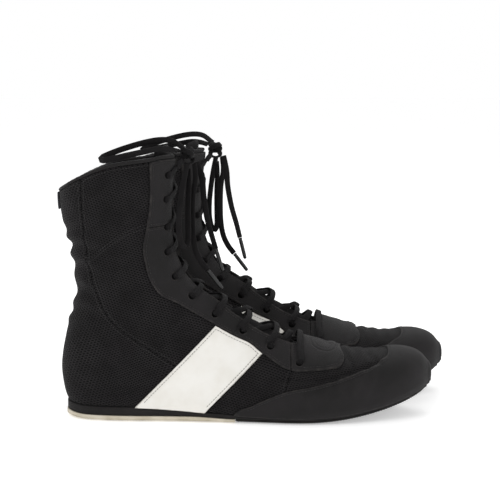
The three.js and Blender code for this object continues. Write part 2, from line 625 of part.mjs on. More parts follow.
const shared = {
  outsole_heel: [soleSlab({ inset: -heelRubberFlare, to: heelRubberEnd, bottom: groundHeight,
    top: (x) => midsoleBottom(x) - gap }), "paleRubber"],
  outsole_forefoot: [soleSlab({ inset: foreRubberInset, from: heelRubberEnd + 0.4, bottom: groundHeight,
    top: (x) => groundHeight(x) + foreRubber }), "blackRubber"],
  midsole: [soleSlab({ inset: -midsoleFlare, bottom: midsoleBottom, top: (x) => featherHeight(x) - gap }), "foam"],
  insole_board: [soleSlab({ inset: boardInset, bottom: featherHeight, top: boardTop }), "board"],
  insole: [soleSlab({ inset: insoleInset, bottom: (x) => boardTop(x) + gap, top: insoleTop }), "foam"],
  heel_counter: [stiffener.intersect(counterZone), "board"],
  toe_puff: [stiffener.intersect(puffZone), "board"],
  lining: [lining, "lining"],
  quarter_lateral: [upper.intersect(quarterZone).intersect(lateral).subtract(punches[0]), "mesh"],
  quarter_medial: [upper.intersect(quarterZone).intersect(medial).subtract(punches[1]), "mesh"],
  back_panel: [upper.intersect(backZone), "mesh"],
  vamp: [upper.intersect(vampZone).subtract(punches[0]).subtract(punches[1]), "mesh"],
  toe_rand: [overlay.intersect(randZone), "suede"],
  eyestay_lateral: [overlay.intersect(eyestayZone).intersect(lateral).subtract(punches[0]), "suede"],
  eyestay_medial: [overlay.intersect(eyestayZone).intersect(medial).subtract(punches[1]), "suede"],
  vamp_tab: [overlay.intersect(tabZone).subtract(punches[0]).subtract(punches[1]), "suede"],
  side_band_lateral: [overlay.intersect(bandZone).intersect(lateral), "white"],
  side_band_medial: [overlay.intersect(bandZone).intersect(medial), "white"],
  collar_binding: [binding, "suede"],
  tongue: [tongueSolid(), "lining"],
  pull_tab: [overlayFull.intersect(pullTabZone), "webbing"],
  lace: [laceRun(), "cord"],
};

const knotGeometry = new THREE.SphereGeometry(1, 10, 8).scale(knotSize.x, knotSize.y, knotSize.z)
  .translate(knotCentre.x, knotCentre.y, knotCentre.z);
shared.lace_knot = [solidFromGeometry(knotGeometry), "cord"];
shared.lace_loop_back = [freeCord(backLoop), "cord"];
shared.lace_loop_front = [freeCord(frontLoop), "cord"];
shared.lace_tail_lateral = [freeCord(lateralTail), "cord"];
shared.aglet_lateral = [agletOn(lateralTail), "tip"];

function buildBoot(side) {
  const boot = new THREE.Group();
  const pieces = {
    ...shared,
    lace_tail_medial: [freeCord(tails[side]), "cord"],
    aglet_medial: [agletOn(tails[side]), "tip"],
  };
  for (const [name, [solid, material]] of Object.entries(pieces)) {
    const mesh = new THREE.Mesh(geometryFrom(solid), materials[material]);
    mesh.name = `${side}_${name}`;
    boot.add(mesh);
  }
  return boot;
}

const pair = new THREE.Group();
const rightBoot = buildBoot("right");
rightBoot.position.set(0, -pairSpacing / 2, 0);
const leftBoot = buildBoot("left");
leftBoot.position.set(leftAhead, pairSpacing / 2, 0);
leftBoot.scale.y = -1;
pair.add(rightBoot, leftBoot);
pair.updateMatrixWorld(true);

// Origin at the middle of the pair's footprint, free lace ends left out of the measure
const freeLace = /lace_(loop|tail)|aglet/;
const extent = new THREE.Box3();
pair.traverse((o) => {
  if (o.isMesh && !freeLace.test(o.name)) extent.union(new THREE.Box3().setFromObject(o, true));
});
const centre = extent.getCenter(new THREE.Vector3());
pair.position.set(-centre.x, -centre.y, -extent.min.z);
pair.updateMatrixWorld(true);

export default pair;
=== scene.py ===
import math
import bpy
import numpy as np
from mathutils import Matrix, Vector


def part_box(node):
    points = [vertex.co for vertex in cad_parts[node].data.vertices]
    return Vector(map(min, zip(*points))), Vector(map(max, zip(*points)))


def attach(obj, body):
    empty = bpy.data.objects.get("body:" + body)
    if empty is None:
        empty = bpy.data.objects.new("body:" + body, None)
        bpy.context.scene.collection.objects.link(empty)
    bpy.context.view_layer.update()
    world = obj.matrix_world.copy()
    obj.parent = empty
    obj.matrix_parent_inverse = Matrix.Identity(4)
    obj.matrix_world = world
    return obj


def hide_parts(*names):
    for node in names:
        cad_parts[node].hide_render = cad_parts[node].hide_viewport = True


# Boxing boots: a pair of high laced boots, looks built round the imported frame.
# Lengths in the dictionaries are in millimetres of one boot: x from the heel, y towards the medial side, z up.
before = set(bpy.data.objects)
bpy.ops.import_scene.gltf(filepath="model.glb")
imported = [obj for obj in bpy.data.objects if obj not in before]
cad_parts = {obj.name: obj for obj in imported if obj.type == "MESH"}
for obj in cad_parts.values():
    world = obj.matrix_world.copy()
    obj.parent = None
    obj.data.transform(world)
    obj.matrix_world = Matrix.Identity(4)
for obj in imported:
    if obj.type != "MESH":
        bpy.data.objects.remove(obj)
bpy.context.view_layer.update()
mm = 0.001
scene = bpy.context.scene
seed = np.random.default_rng(12)

# camera, light, floor
studio = {
    "cameraFrom": (-6, -1254, 252.2), "lookDown": 5.97, "lens": 113.4,
    "floorSize": 60, "floorGrey": 0.93, "floorGlow": 0.42, "skyShown": 1.0, "skyLight": 0.62, "lamps": 0.52,
}


def buildStudio():
    camera = bpy.data.objects.new("camera", bpy.data.cameras.new("camera"))
    scene.collection.objects.link(camera)
    camera.location = Vector(studio["cameraFrom"]) * mm
    camera.rotation_euler = (math.radians(90 - studio["lookDown"]), 0, 0)
    camera.data.lens = studio["lens"]
    camera.data.sensor_width = 36
    camera.data.clip_end = 60
    scene.camera = camera
    for name, place, target, size, power in (
        ("keyLight", (-1.1, -1.7, 1.9), (0, 0, 0.1), 1.6, 34),
        ("fillLight", (1.7, -1.1, 1.2), (0, 0, 0.1), 1.5, 15),
        ("rimLight", (0.1, 1.5, 1.7), (0, 0, 0.12), 1.4, 22),
    ):
        light = bpy.data.objects.new(name, bpy.data.lights.new(name, "AREA"))
        scene.collection.objects.link(light)
        light.data.shape = "DISK"
        light.data.size = size
        light.data.energy = power * studio["lamps"]
        light.location = place
        light.rotation_euler = (Vector(target) - Vector(place)).to_track_quat("-Z", "Y").to_euler()
    world = bpy.data.worlds.new("studioWorld")
    world.use_nodes = True
    tree = world.node_tree
    seen = tree.nodes.new("ShaderNodeLightPath").outputs["Is Camera Ray"]
    strength = tree.nodes.new("ShaderNodeMapRange")
    tree.links.new(seen, strength.inputs[0])
    strength.inputs[3].default_value, strength.inputs[4].default_value = studio["skyLight"], studio["skyShown"]
    tree.nodes["Background"].inputs[0].default_value = (1, 1, 1, 1)
    tree.links.new(strength.outputs[0], tree.nodes["Background"].inputs[1])
    scene.world = world
    scene.view_settings.view_transform = "Standard"
    half = studio["floorSize"] / 2
    mesh = bpy.data.meshes.new("floor")
    mesh.from_pydata([(-half, -half, 0), (half, -half, 0), (half, half, 0), (-half, half, 0)], [],
                     [(0, 1, 2, 3)])
    floor = bpy.data.objects.new("floor", mesh)
    scene.collection.objects.link(floor)
    floor.location.z = -0.0004
    matte = bpy.data.materials.new("floorPaper")
    matte.use_nodes = True
    shader = matte.node_tree.nodes["Principled BSDF"]
    shader.inputs["Base Color"].default_value = (studio["floorGrey"],) * 3 + (1,)
    shader.inputs["Roughness"].default_value = 0.9
    shader.inputs["Emission Color"].default_value = (1, 1, 1, 1)
    shader.inputs["Emission Strength"].default_value = studio["floorGlow"]
    mesh.materials.append(matte)
    print("studio ready")


buildStudio()

# shader node helpers and the groups that materials share


def addNode(tree, kind, inputs=None, **settings):
    node = tree.nodes.new(kind)
    for key, value in settings.items():
        setattr(node, key, value)
    for key, value in (inputs or {}).items():
        if isinstance(value, bpy.types.NodeSocket):
            tree.links.new(value, node.inputs[key])
        else:
            node.inputs[key].default_value = value
    return node


def mathNode(tree, operation, *values, clamp=False):
    inputs = dict(enumerate(values))
    return addNode(tree, "ShaderNodeMath", inputs, operation=operation, use_clamp=clamp).outputs[0]


def add(tree, a, b, clamp=False):
    return mathNode(tree, "ADD", a, b, clamp=clamp)


def multiply(tree, a, b):
    return mathNode(tree, "MULTIPLY", a, b)


def oneMinus(tree, a):
    return mathNode(tree, "SUBTRACT", 1.0, a)


def mixColor(tree, share, low, high):
    node = addNode(tree, "ShaderNodeMix", data_type="RGBA")
    for index, value in ((0, share), (6, low), (7, high)):
        if isinstance(value, bpy.types.NodeSocket):
            tree.links.new(value, node.inputs[index])
        else:
            node.inputs[index].default_value = value
    return node.outputs[2]


def ramp(tree, value, low, high):
    return addNode(tree, "ShaderNodeMapRange", {0: value, 1: low, 2: high},
                   interpolation_type="SMOOTHSTEP").outputs[0]


def newGroup(name, inputs, outputs):
    tree = bpy.data.node_groups.new(name, "ShaderNodeTree")
    for label, kind, value in inputs:
        socket = tree.interface.new_socket(label, in_out="INPUT", socket_type=kind)
        if value is not None:
            socket.default_value = value
    for label, kind in outputs:
        tree.interface.new_socket(label, in_out="OUTPUT", socket_type=kind)
    return tree, tree.nodes.new("NodeGroupInput").outputs, tree.nodes.new("NodeGroupOutput").inputs


floatSocket, vectorSocket = "NodeSocketFloat", "NodeSocketVector"


def buildCellGroup():  # rows of long holes or raised cells, every other row moved by half a pitch
    tree, given, out = newGroup("offsetCells", [
        ("Vector", vectorSocket, None), ("Pitch Across", floatSocket, 1.6),
        ("Pitch Along", floatSocket, 1.1),
        ("Cell Across", floatSocket, 0.32), ("Cell Along", floatSocket, 0.3),
        ("Softness", floatSocket, 0.3),
    ], [("Solid", floatSocket)])
    parts = addNode(tree, "ShaderNodeSeparateXYZ", {0: given["Vector"]}).outputs
    along = mathNode(tree, "DIVIDE", parts[1], given["Pitch Along"])
    row = mathNode(tree, "FLOOR", along)
    shift = multiply(tree, mathNode(tree, "FLOORED_MODULO", row, 2.0), 0.5)
    across = add(tree, mathNode(tree, "DIVIDE", parts[0], given["Pitch Across"]), shift)
    cellX, cellY = (
        mathNode(tree, "DIVIDE", mathNode(tree, "SUBTRACT", mathNode(tree, "FRACT", run), 0.5), given[size])
        for run, size in ((across, "Cell Across"), (along, "Cell Along")))
    reach = mathNode(tree, "SQRT", add(tree, multiply(tree, cellX, cellX), multiply(tree, cellY, cellY)))
    low = oneMinus(tree, given["Softness"])
    high = add(tree, 1.0, given["Softness"])
    tree.links.new(ramp(tree, reach, low, high), out["Solid"])
    return tree


def buildMottleGroup():  # slow change of tone, fine grain and specks, for every surface
    tree, given, out = newGroup("mottleAndGrain", [
        ("Vector", vectorSocket, None), ("Patch Scale", floatSocket, 40.0),
        ("Grain Scale", floatSocket, 2500.0),
        ("Speck Scale", floatSocket, 900.0),
    ], [("Patch", floatSocket), ("Grain", floatSocket), ("Speck", floatSocket)])
    patch = addNode(tree, "ShaderNodeTexNoise", {"Vector": given["Vector"], "Scale": given["Patch Scale"],
                                               "Detail": 3.0, "Roughness": 0.6}).outputs[0]
    grain = addNode(tree, "ShaderNodeTexNoise", {"Vector": given["Vector"], "Scale": given["Grain Scale"],
                                               "Detail": 4.0, "Roughness": 0.65}).outputs[0]
    speck = addNode(tree, "ShaderNodeTexVoronoi",
                    {"Vector": given["Vector"], "Scale": given["Speck Scale"]}).outputs[0]
    tree.links.new(ramp(tree, patch, 0.3, 0.7), out["Patch"])
    tree.links.new(grain, out["Grain"])
    tree.links.new(ramp(tree, speck, 0.05, 0.2), out["Speck"])
    return tree


def buildWearGroup():  # rubbed edges, from each piece's own edge distance
    tree, given, out = newGroup("edgeRub", [
        ("Vector", vectorSocket, None), ("Edge", floatSocket, 1.0), ("Reach", floatSocket, 0.12),
    ], [("Rub", floatSocket)])
    noise = addNode(tree, "ShaderNodeTexNoise",
                    {"Vector": given["Vector"], "Scale": 260.0, "Detail": 3.0}).outputs[0]
    near = oneMinus(tree, ramp(tree, given["Edge"], 0.0, given["Reach"]))
    tree.links.new(multiply(tree, near, ramp(tree, noise, 0.35, 0.7)), out["Rub"])
    return tree


cellGroup, mottleGroup, wearGroup = buildCellGroup(), buildMottleGroup(), buildWearGroup()


def useGroup(tree, group, inputs):
    return addNode(tree, "ShaderNodeGroup", inputs, node_tree=group).outputs


def tone(hexColor):  # linear values of a screen colour
    parts = [int(hexColor[i:i + 2], 16) / 255 for i in (0, 2, 4)]
    return tuple(p / 12.92 if p <= 0.04045 else ((p + 0.055) / 1.055) ** 2.4 for p in parts) + (1,)


def startMaterial(name, roughness, sheen=0.0, specular=0.5):
    material = bpy.data.materials.new(name)
    material.use_nodes = True
    tree = material.node_tree
    shader = tree.nodes["Principled BSDF"]
    shader.inputs["Roughness"].default_value = roughness
    shader.inputs["Sheen Weight"].default_value = sheen
    shader.inputs["Sheen Roughness"].default_value = 0.5
    shader.inputs["Specular IOR Level"].default_value = specular
    place = addNode(tree, "ShaderNodeTexCoord").outputs["Object"]
    return material, tree, shader, place


def surfaceUv(tree):  # the piece's own map, in hundredths of a metre
    return addNode(tree, "ShaderNodeUVMap", uv_map="surface").outputs[0]


def edgeShare(tree):
    return addNode(tree, "ShaderNodeAttribute", attribute_name="edgeShare").outputs["Fac"]


def bumpInto(tree, shader, height, distance):
    bump = addNode(tree, "ShaderNodeBump", {"Height": height, "Distance": distance, "Strength": 1.0})
    tree.links.new(bump.outputs[0], shader.inputs["Normal"])


def grainRoughness(tree, shader, grain, swing, base):
    tree.links.new(mathNode(tree, "MULTIPLY_ADD", grain, swing, base), shader.inputs["Roughness"])


materials = {}

meshLook = {"thread": "1a1819", "worn": "232122", "hole": "020202",
            "pitchAcross": 0.24, "pitchAlong": 0.17, "lean": 0.3, "depth": 0.0007}


def buildMeshCloth():
    material, tree, shader, place = startMaterial("airMesh", 0.82, sheen=0.04, specular=0.1)
    leant = addNode(tree, "ShaderNodeVectorRotate", {"Vector": surfaceUv(tree), "Angle": meshLook["lean"]},
                    rotation_type="Z_AXIS").outputs[0]
    cells = useGroup(tree, cellGroup,
                     {"Vector": leant, "Pitch Across": meshLook["pitchAcross"],
                      "Pitch Along": meshLook["pitchAlong"], "Cell Across": 0.36, "Cell Along": 0.3,
                      "Softness": 0.3})
    mottle = useGroup(tree, mottleGroup, {"Vector": place, "Patch Scale": 55.0, "Grain Scale": 3500.0})
    thread = mixColor(tree, mottle["Patch"], tone(meshLook["thread"]), tone(meshLook["worn"]))
    tree.links.new(mixColor(tree, cells["Solid"], tone(meshLook["hole"]), thread),
                   shader.inputs["Base Color"])
    grainRoughness(tree, shader, mottle["Grain"], 0.25, 0.68)
    height = add(tree, cells["Solid"], multiply(tree, mottle["Grain"], 0.35))
    bumpInto(tree, shader, height, meshLook["depth"])
    return material


suedeLook = {
    "base": "1b1a1a", "light": "222021", "rub": "3a3735", "roughness": 0.8, "sheen": 0.05, "specular": 0.15,
    "scales": (32.0, 4200.0, 1500.0), "reach": 0.16, "rubShare": 0.7, "low": 0.6, "speckShare": 0.3,
    "depth": 0.00025,
}
bandLook = {
    "base": "e9e7e2", "light": "e2dfd8", "rub": "a8a298", "roughness": 0.5, "sheen": 0.0, "specular": 0.4,
    "scales": (45.0, 1500.0, 1100.0), "reach": 0.1, "rubShare": 0.8, "low": 0.38, "speckShare": 1.0,
    "depth": 0.00012,
}


def buildRubbed(name, look):  # a grained surface that pales along its edges
    material, tree, shader, place = startMaterial(name, look["roughness"], look["sheen"], look["specular"])
    patch, grain, speck = look["scales"]
    mottle = useGroup(tree, mottleGroup, {"Vector": place, "Patch Scale": patch, "Grain Scale": grain,
                                          "Speck Scale": speck})
    wear = useGroup(tree, wearGroup, {"Vector": place, "Edge": edgeShare(tree), "Reach": look["reach"]})
    base = mixColor(tree, mottle["Patch"], tone(look["base"]), tone(look["light"]))
    rubbed = mixColor(tree, multiply(tree, wear["Rub"], look["rubShare"]), base, tone(look["rub"]))
    tree.links.new(rubbed, shader.inputs["Base Color"])
    grainRoughness(tree, shader, mottle["Grain"], 0.3, look["low"])
    height = add(tree, mottle["Grain"], multiply(tree, mottle["Speck"], look["speckShare"]))
    bumpInto(tree, shader, height, look["depth"])
    return material


def buildRubber(name, base, dull, darkerTone, roughness=0.6, lines=0.0):
    material, tree, shader, place = startMaterial(name, roughness, specular=0.2)
    mottle = useGroup(tree, mottleGroup,
                      {"Vector": place, "Patch Scale": 60.0, "Grain Scale": 1800.0, "Speck Scale": 700.0})
    color = mixColor(tree, mottle["Patch"], tone(base), tone(dull))
    speck = oneMinus(tree, mottle["Speck"])
    # darker tone at random specks, and in random patches within 4 mm of the floor
    low = addNode(tree, "ShaderNodeSeparateXYZ", {0: place}).outputs[2]
    nearFloor = multiply(tree, oneMinus(tree, ramp(tree, low, 0.0, 0.004)), mottle["Patch"])
    share = add(tree, multiply(tree, speck, 0.5), multiply(tree, nearFloor, 0.5), clamp=True)
    darkened = mixColor(tree, share, color, tone(darkerTone))
    tree.links.new(darkened, shader.inputs["Base Color"])
    grainRoughness(tree, shader, mottle["Grain"], 0.3, roughness - 0.15)
    height = mottle["Grain"]
    if lines:
        wave = mathNode(tree, "SINE", multiply(tree, low, lines))
        height = add(tree, height, multiply(tree, wave, 0.6))
    bumpInto(tree, shader, height, 0.0002)
    return material


# plain weave on the piece's own map
def buildWeave(name, base, light, across, along, roughness=0.85, depth=0.0003):
    material, tree, shader, place = startMaterial(name, roughness, sheen=0.04, specular=0.12)
    cells = useGroup(tree, cellGroup,
                     {"Vector": surfaceUv(tree), "Pitch Across": across, "Pitch Along": along,
                      "Cell Across": 0.45, "Cell Along": 0.42, "Softness": 0.6})
    mottle = useGroup(tree, mottleGroup, {"Vector": place, "Patch Scale": 70.0, "Grain Scale": 5000.0})
    raised = oneMinus(tree, cells["Solid"])
    share = multiply(tree, raised, mathNode(tree, "MULTIPLY_ADD", mottle["Patch"], 0.5, 0.5))
    tree.links.new(mixColor(tree, share, tone(base), tone(light)), shader.inputs["Base Color"])
    grainRoughness(tree, shader, mottle["Grain"], 0.2, roughness - 0.1)
    height = add(tree, raised, multiply(tree, mottle["Grain"], 0.3))
    bumpInto(tree, shader, height, depth)
    return material


def buildGloss(name, base, light, roughness):
    material, tree, shader, place = startMaterial(name, roughness, specular=0.5)
    mottle = useGroup(tree, mottleGroup, {"Vector": place, "Patch Scale": 300.0, "Grain Scale": 2200.0})
    tree.links.new(mixColor(tree, mottle["Patch"], tone(base), tone(light)), shader.inputs["Base Color"])
    grainRoughness(tree, shader, mottle["Grain"], 0.3, roughness - 0.1)
    bumpInto(tree, shader, mottle["Grain"], 0.00008)
    return material


materials["mesh"] = buildMeshCloth()
materials["suede"] = buildRubbed("darkMicrofibre", suedeLook)
materials["band"] = buildRubbed("paleSynthetic", bandLook)
materials["heelRubber"] = buildRubber("creamRubber", "cfc7b6", "bfb6a2", "7f7664", 0.6)
materials["foreRubber"] = buildRubber("blackRubber", "161515", "1f1e1d", "383531", 0.65)
materials["foxing"] = buildRubber("darkFoxing", "191717", "211f1f", "3a3733", 0.7, lines=5200.0)
materials["board"] = buildRubber("fibreBoard", "b7a78c", "a39376", "7d705a", 0.85)
materials["lining"] = buildWeave("liningCloth", "1b1616", "3a302e", 0.09, 0.09)
materials["tongue"] = buildWeave("tongueCloth", "121112", "242223", 0.12, 0.09)
materials["lace"] = buildWeave("flatLace", "0c0b0c", "1e1c1d", 0.1, 0.075, 0.75, 0.0003)
materials["webbing"] = buildWeave("greyWebbing", "2a2a2d", "424247", 0.12, 0.08)
materials["tip"] = buildGloss("lacquerTip", "0b0b0b", "171717", 0.25)
materials["thread"] = buildGloss("blackThread", "1b1a1a", "302e2e", 0.65)
materials["bandThread"] = buildGloss("greyThread", "55524e", "77736d", 0.65)
print("materials ready:", len(materials))

# the boot's surface: one loft that every upper piece is cut from
boot = {
    "toeSpringStart": 185, "toeSpringRise": 20, "length": 285, "heelStack": 10.8, "foreStack": 5,
    "heelRubber": 3.8, "foreRubber": 2.6, "heelRubberEnd": 134, "gap": 0.3,
    "upper": 2.0, "overlay": 1.5, "knot": (97.5, 0, 199.5), "throatFront": 184,
    "shaftGapHalf": 9.5, "vampGapHalf": 17,
}
# back x, back z, front x, front z, half width, medial shift, widest level, fullness above, fullness below
ribTable = np.array([
    [1, 184, 90, 216, 39, 0, 0.5, 2.1, 2.2], [1, 169, 89, 201, 38.5, 0, 0.5, 2.1, 2.2],
    [3, 152, 87, 181, 37.5, 0, 0.5, 2.1, 2.2], [6.5, 138, 85.5, 162, 36.5, 0, 0.5, 2.1, 2.2],
    [9.5, 123, 85.5, 146, 35.5, 0, 0.5, 2.1, 2.2], [11.5, 109, 88, 130, 34.5, 0, 0.5, 2.05, 2.2],
    [12.5, 95, 93.5, 116.5, 34, 0, 0.5, 2, 2.2], [9, 83, 100.5, 106, 34, 0, 0.5, 1.9, 2.2],
    [5, 67, 109, 99.3, 34, 0, 0.5, 1.85, 2.2], [1.5, 50, 118.5, 94.5, 33.5, 0, 0.5, 1.8, 2.3],
    [0.8, 33, 128, 90, 33, 0, 0.48, 1.8, 2.3], [4.5, 15, 137, 85.3, 32.5, 0, 0.45, 1.8, 2.5],
    [14, 5.5, 147, 80, 32, 0, 0.45, 1.8, 3.2], [40, 4, 158, 73.8, 32, 0, 0.4, 1.8, 4.5],
    [75, 4, 169, 67.5, 32.5, 0, 0.38, 1.85, 5.5], [110, 3.5, 181, 61.5, 36, 0, 0.35, 1.9, 6],
    [145, 0, 195, 57, 42.5, 1, 0.35, 2, 6], [180, 0, 211, 53, 48.5, 2, 0.35, 2.1, 6],
    [212, 0, 230, 50, 47.5, 4, 0.36, 2.15, 6], [240, 0, 249, 49.2, 41.5, 6, 0.38, 2.2, 5.5],
    [260, 0, 264, 49, 33.5, 7, 0.4, 2.2, 4.5], [274, 0, 275.5, 45.5, 22.5, 8, 0.42, 2.2, 3.5],
    [282, 0, 282.5, 38.5, 9.5, 8, 0.5, 2.2, 2.6],
])
lastRib = len(ribTable) - 1
toeCap = {"ribs": 0.8, "push": 2.2}


def smoothStep(value, low, high):
    t = np.clip((value - low) / (high - low), 0, 1)
    return t * t * (3 - 2 * t)


def groundHeight(x):
    x = np.asarray(x, float)
    heel = 3 * (np.maximum(22 - x, 0) / 22) ** 2
    reach = np.maximum(x - boot["toeSpringStart"], 0) / (boot["length"] - 2 - boot["toeSpringStart"])
    return heel + boot["toeSpringRise"] * reach ** 2


def featherHeight(x):
    share = smoothStep(x, 45, 165)
    return groundHeight(x) + boot["heelStack"] * (1 - share) + boot["foreStack"] * share


soleBack = np.where(ribTable[:, 1] > 0, ribTable[:, 1], groundHeight(ribTable[:, 0]) + 1.5)
backPoints = np.stack([ribTable[:, 0], soleBack, ribTable[:, 4]], 1)
frontPoints = ribTable[:, [2, 3, 5]]
shapePoints = ribTable[:, [6, 7, 8]]


def alongCurve(points, share):  # smooth curve through points, share 0 to 1
    points = np.asarray(points, float)
    count = len(points)
    place = np.clip(np.asarray(share, float), 0, 1) * (count - 1)
    i = np.minimum(np.floor(place).astype(int), count - 2)
    w = (place - i)[..., None]
    before = np.where((i > 0)[..., None], points[np.maximum(i - 1, 0)], 2 * points[0] - points[1])
    after = np.where((i + 2 < count)[..., None], points[np.minimum(i + 2, count - 1)],
                     2 * points[-1] - points[-2])
    a, b = points[i], points[i + 1]
    ta, tb = 0.5 * (b - before), 0.5 * (after - a)
    return a + ta * w + (3 * (b - a) - 2 * ta - tb) * w ** 2 + (2 * (a - b) + ta + tb) * w ** 3


def rawPoint(rib, angle):
    t = rib / lastRib
    back, front, shape = (alongCurve(p, t) for p in (backPoints, frontPoints, shapePoints))
    c, s = np.cos(angle), np.sin(angle)
    power = np.where(c >= 0, shape[..., 1], shape[..., 2])
    reach = (np.abs(c) ** power + np.abs(s) ** power) ** (-1 / power)
    level = shape[..., 0] + reach * c * np.where(c >= 0, 1 - shape[..., 0], shape[..., 0])
    x = back[..., 0] + (front[..., 0] - back[..., 0]) * level
    z = back[..., 1] + (front[..., 1] - back[..., 1]) * level
    return np.stack([x, front[..., 2] - back[..., 2] * reach * s, z], -1)


toeTip = np.mean([rawPoint(np.array(float(lastRib)), np.array(k * math.pi / 2)) for k in range(4)], 0)


def surfacePoint(rib, angle):  # past the last rib the toe closes over its tip
    rib, angle = np.broadcast_arrays(np.asarray(rib, float), np.asarray(angle, float))
    over = np.clip((rib - lastRib) / toeCap["ribs"], 0, 0.99) * math.pi / 2
    at = rawPoint(np.minimum(rib, lastRib), angle)
    at = toeTip + (at - toeTip) * np.cos(over)[..., None]
    at[..., 0] += toeCap["push"] * np.sin(over)
    return at


def surfaceFrame(rib, angle):
    d = 0.02
    rib, angle = np.broadcast_arrays(np.asarray(rib, float), np.asarray(angle, float))
    at = surfacePoint(rib, angle)
    along = surfacePoint(rib + d, angle) - surfacePoint(np.maximum(rib - d, 0), angle)
    around = surfacePoint(rib, angle + d) - surfacePoint(rib, angle - d)
    normal = np.cross(along, around)
    normal /= np.maximum(np.linalg.norm(normal, axis=-1, keepdims=True), 1e-9)
    t = np.minimum(rib, lastRib) / lastRib
    back, front = alongCurve(backPoints, t), alongCurve(frontPoints, t)
    centre = np.stack([(back[..., 0] + front[..., 0]) / 2, front[..., 2],
                       (back[..., 1] + front[..., 1]) / 2], -1)
    normal *= np.where(np.sum(normal * (at - centre), -1) < 0, -1, 1)[..., None]
    size = np.linalg.norm(around, axis=-1) / (2 * d)
    along /= np.maximum(np.linalg.norm(along, axis=-1, keepdims=True), 1e-9)
    return at, normal, along, size


denseRibs = np.linspace(0, lastRib + toeCap["ribs"], 331)
denseAngles = np.linspace(-math.pi, math.pi, 181)
densePoints = surfacePoint(denseRibs[:, None], denseAngles[None, :])
middle = len(denseAngles) // 2
stepAround = np.linalg.norm(np.diff(densePoints, axis=1), axis=2)
arcAround = np.concatenate([np.zeros((len(denseRibs), 1)), np.cumsum(stepAround, 1)], 1)
arcAround -= arcAround[:, middle:middle + 1]
stepAlong = np.linalg.norm(np.diff(densePoints, axis=0), axis=2)
arcAlong = np.concatenate([np.zeros((1, len(denseAngles))), np.cumsum(stepAlong, 0)], 0)
ribPace = np.concatenate([[0], np.cumsum(stepAlong.max(1))])


def fromTable(table, rib, angle):
    row = np.interp(rib, denseRibs, np.arange(len(denseRibs)))
    wrapped = (angle + math.pi) % (2 * math.pi) - math.pi
    column = np.interp(wrapped, denseAngles, np.arange(len(denseAngles)))
    i, j = np.minimum(row.astype(int), len(denseRibs) - 2), np.minimum(column.astype(int),
                                                                       len(denseAngles) - 2)
    u, v = row - i, column - j
    return ((table[i, j] * (1 - u) + table[i + 1, j] * u) * (1 - v)
            + (table[i, j + 1] * (1 - u) + table[i + 1, j + 1] * u) * v)


# outlines: side-view lines that pieces are cut along
def smoothOutline(corners, spacing=1.5):
    corners = np.asarray(corners, float)
    lengths = np.linalg.norm(np.diff(corners, axis=0), axis=1)
    share = [np.linspace(k, k + 1, max(2, int(size / spacing)), endpoint=False)
             for k, size in enumerate(lengths)]
    return np.vstack([alongCurve(corners, np.concatenate(share) / (len(corners) - 1)), corners[-1:]])


def outlineDistance(points, line):
    best = np.full(len(points), 1e9)
    inside = np.zeros(len(points), bool)
    for a, b in zip(line, np.roll(line, -1, axis=0)):
        ab, ap = b - a, points - a
        t = np.clip(ap @ ab / max(ab @ ab, 1e-12), 0, 1)
        best = np.minimum(best, np.linalg.norm(ap - t[:, None] * ab, axis=1))
        crossing = ((a[1] > points[:, 1]) != (b[1] > points[:, 1]))
        if crossing.any() and b[1] != a[1]:
            at = (b[0] - a[0]) * (points[:, 1] - a[1]) / (b[1] - a[1]) + a[0]
            inside ^= crossing & (points[:, 0] < at)
    return best, inside


def insideOutline(outline):  # positive inside a side-view outline
    def field(rib, angle, at):
        distance, inside = outlineDistance(at[:, [0, 2]], outline)
        return np.where(inside, distance, -distance)
    return field


def outsideOutline(outline):
    inner = insideOutline(outline)
    return lambda rib, angle, at: -inner(rib, angle, at)


def aboveFeather(rib, angle, at):
    return at[:, 2] - featherHeight(at[:, 0])


rimLine = smoothOutline([[-14, 163], [0, 171], [5, 174.5], [20, 183], [41.5, 191], [70.7, 195], [83, 197],
                         [130, 198]])


def belowRim(rib, angle, at):
    return np.interp(at[:, 0], rimLine[:, 0], rimLine[:, 1]) - at[:, 2]


def throatHalf(x):
    return np.interp(x, [100, boot["throatFront"]], [boot["shaftGapHalf"], boot["vampGapHalf"]])


def isAhead(angle):  # on the front half of a rib
    return np.abs((angle + math.pi) % (2 * math.pi) - math.pi) < math.pi / 2


def besideThroat(rib, angle, at):  # positive outside the opening between the facings
    side = throatHalf(at[:, 0]) - np.abs(at[:, 1])
    front = boot["throatFront"] - at[:, 0]
    soft = 7.0
    mix = np.clip(0.5 + 0.5 * (front - side) / soft, 0, 1)
    inner = front * (1 - mix) + side * mix - soft * mix * (1 - mix)
    return np.where(isAhead(angle), -inner, 60.0)


# sheets: a fine grid over the loft, cut cleanly along fields
def gridSheet(ribFrom, ribTo, angleFrom, angleTo, spacing):
    pace = np.interp([ribFrom, ribTo], denseRibs, ribPace)
    rows = np.interp(np.linspace(pace[0], pace[1], int((pace[1] - pace[0]) / spacing) + 2), ribPace,
                     denseRibs)
    columns = np.linspace(angleFrom, angleTo, int((angleTo - angleFrom) * 44 / spacing) + 2)
    rib, angle = np.meshgrid(rows, columns, indexing="ij")
    n, m = rib.shape
    index = np.arange(n * m).reshape(n, m)
    a, b, c, d = index[:-1, :-1].ravel(), index[1:, :-1].ravel(), index[1:, 1:].ravel(), index[:-1,
                                                                                               1:].ravel()
    return np.stack([rib.ravel(), angle.ravel()],
                    1), np.vstack([np.stack([a, b, c], 1), np.stack([a, c, d], 1)])


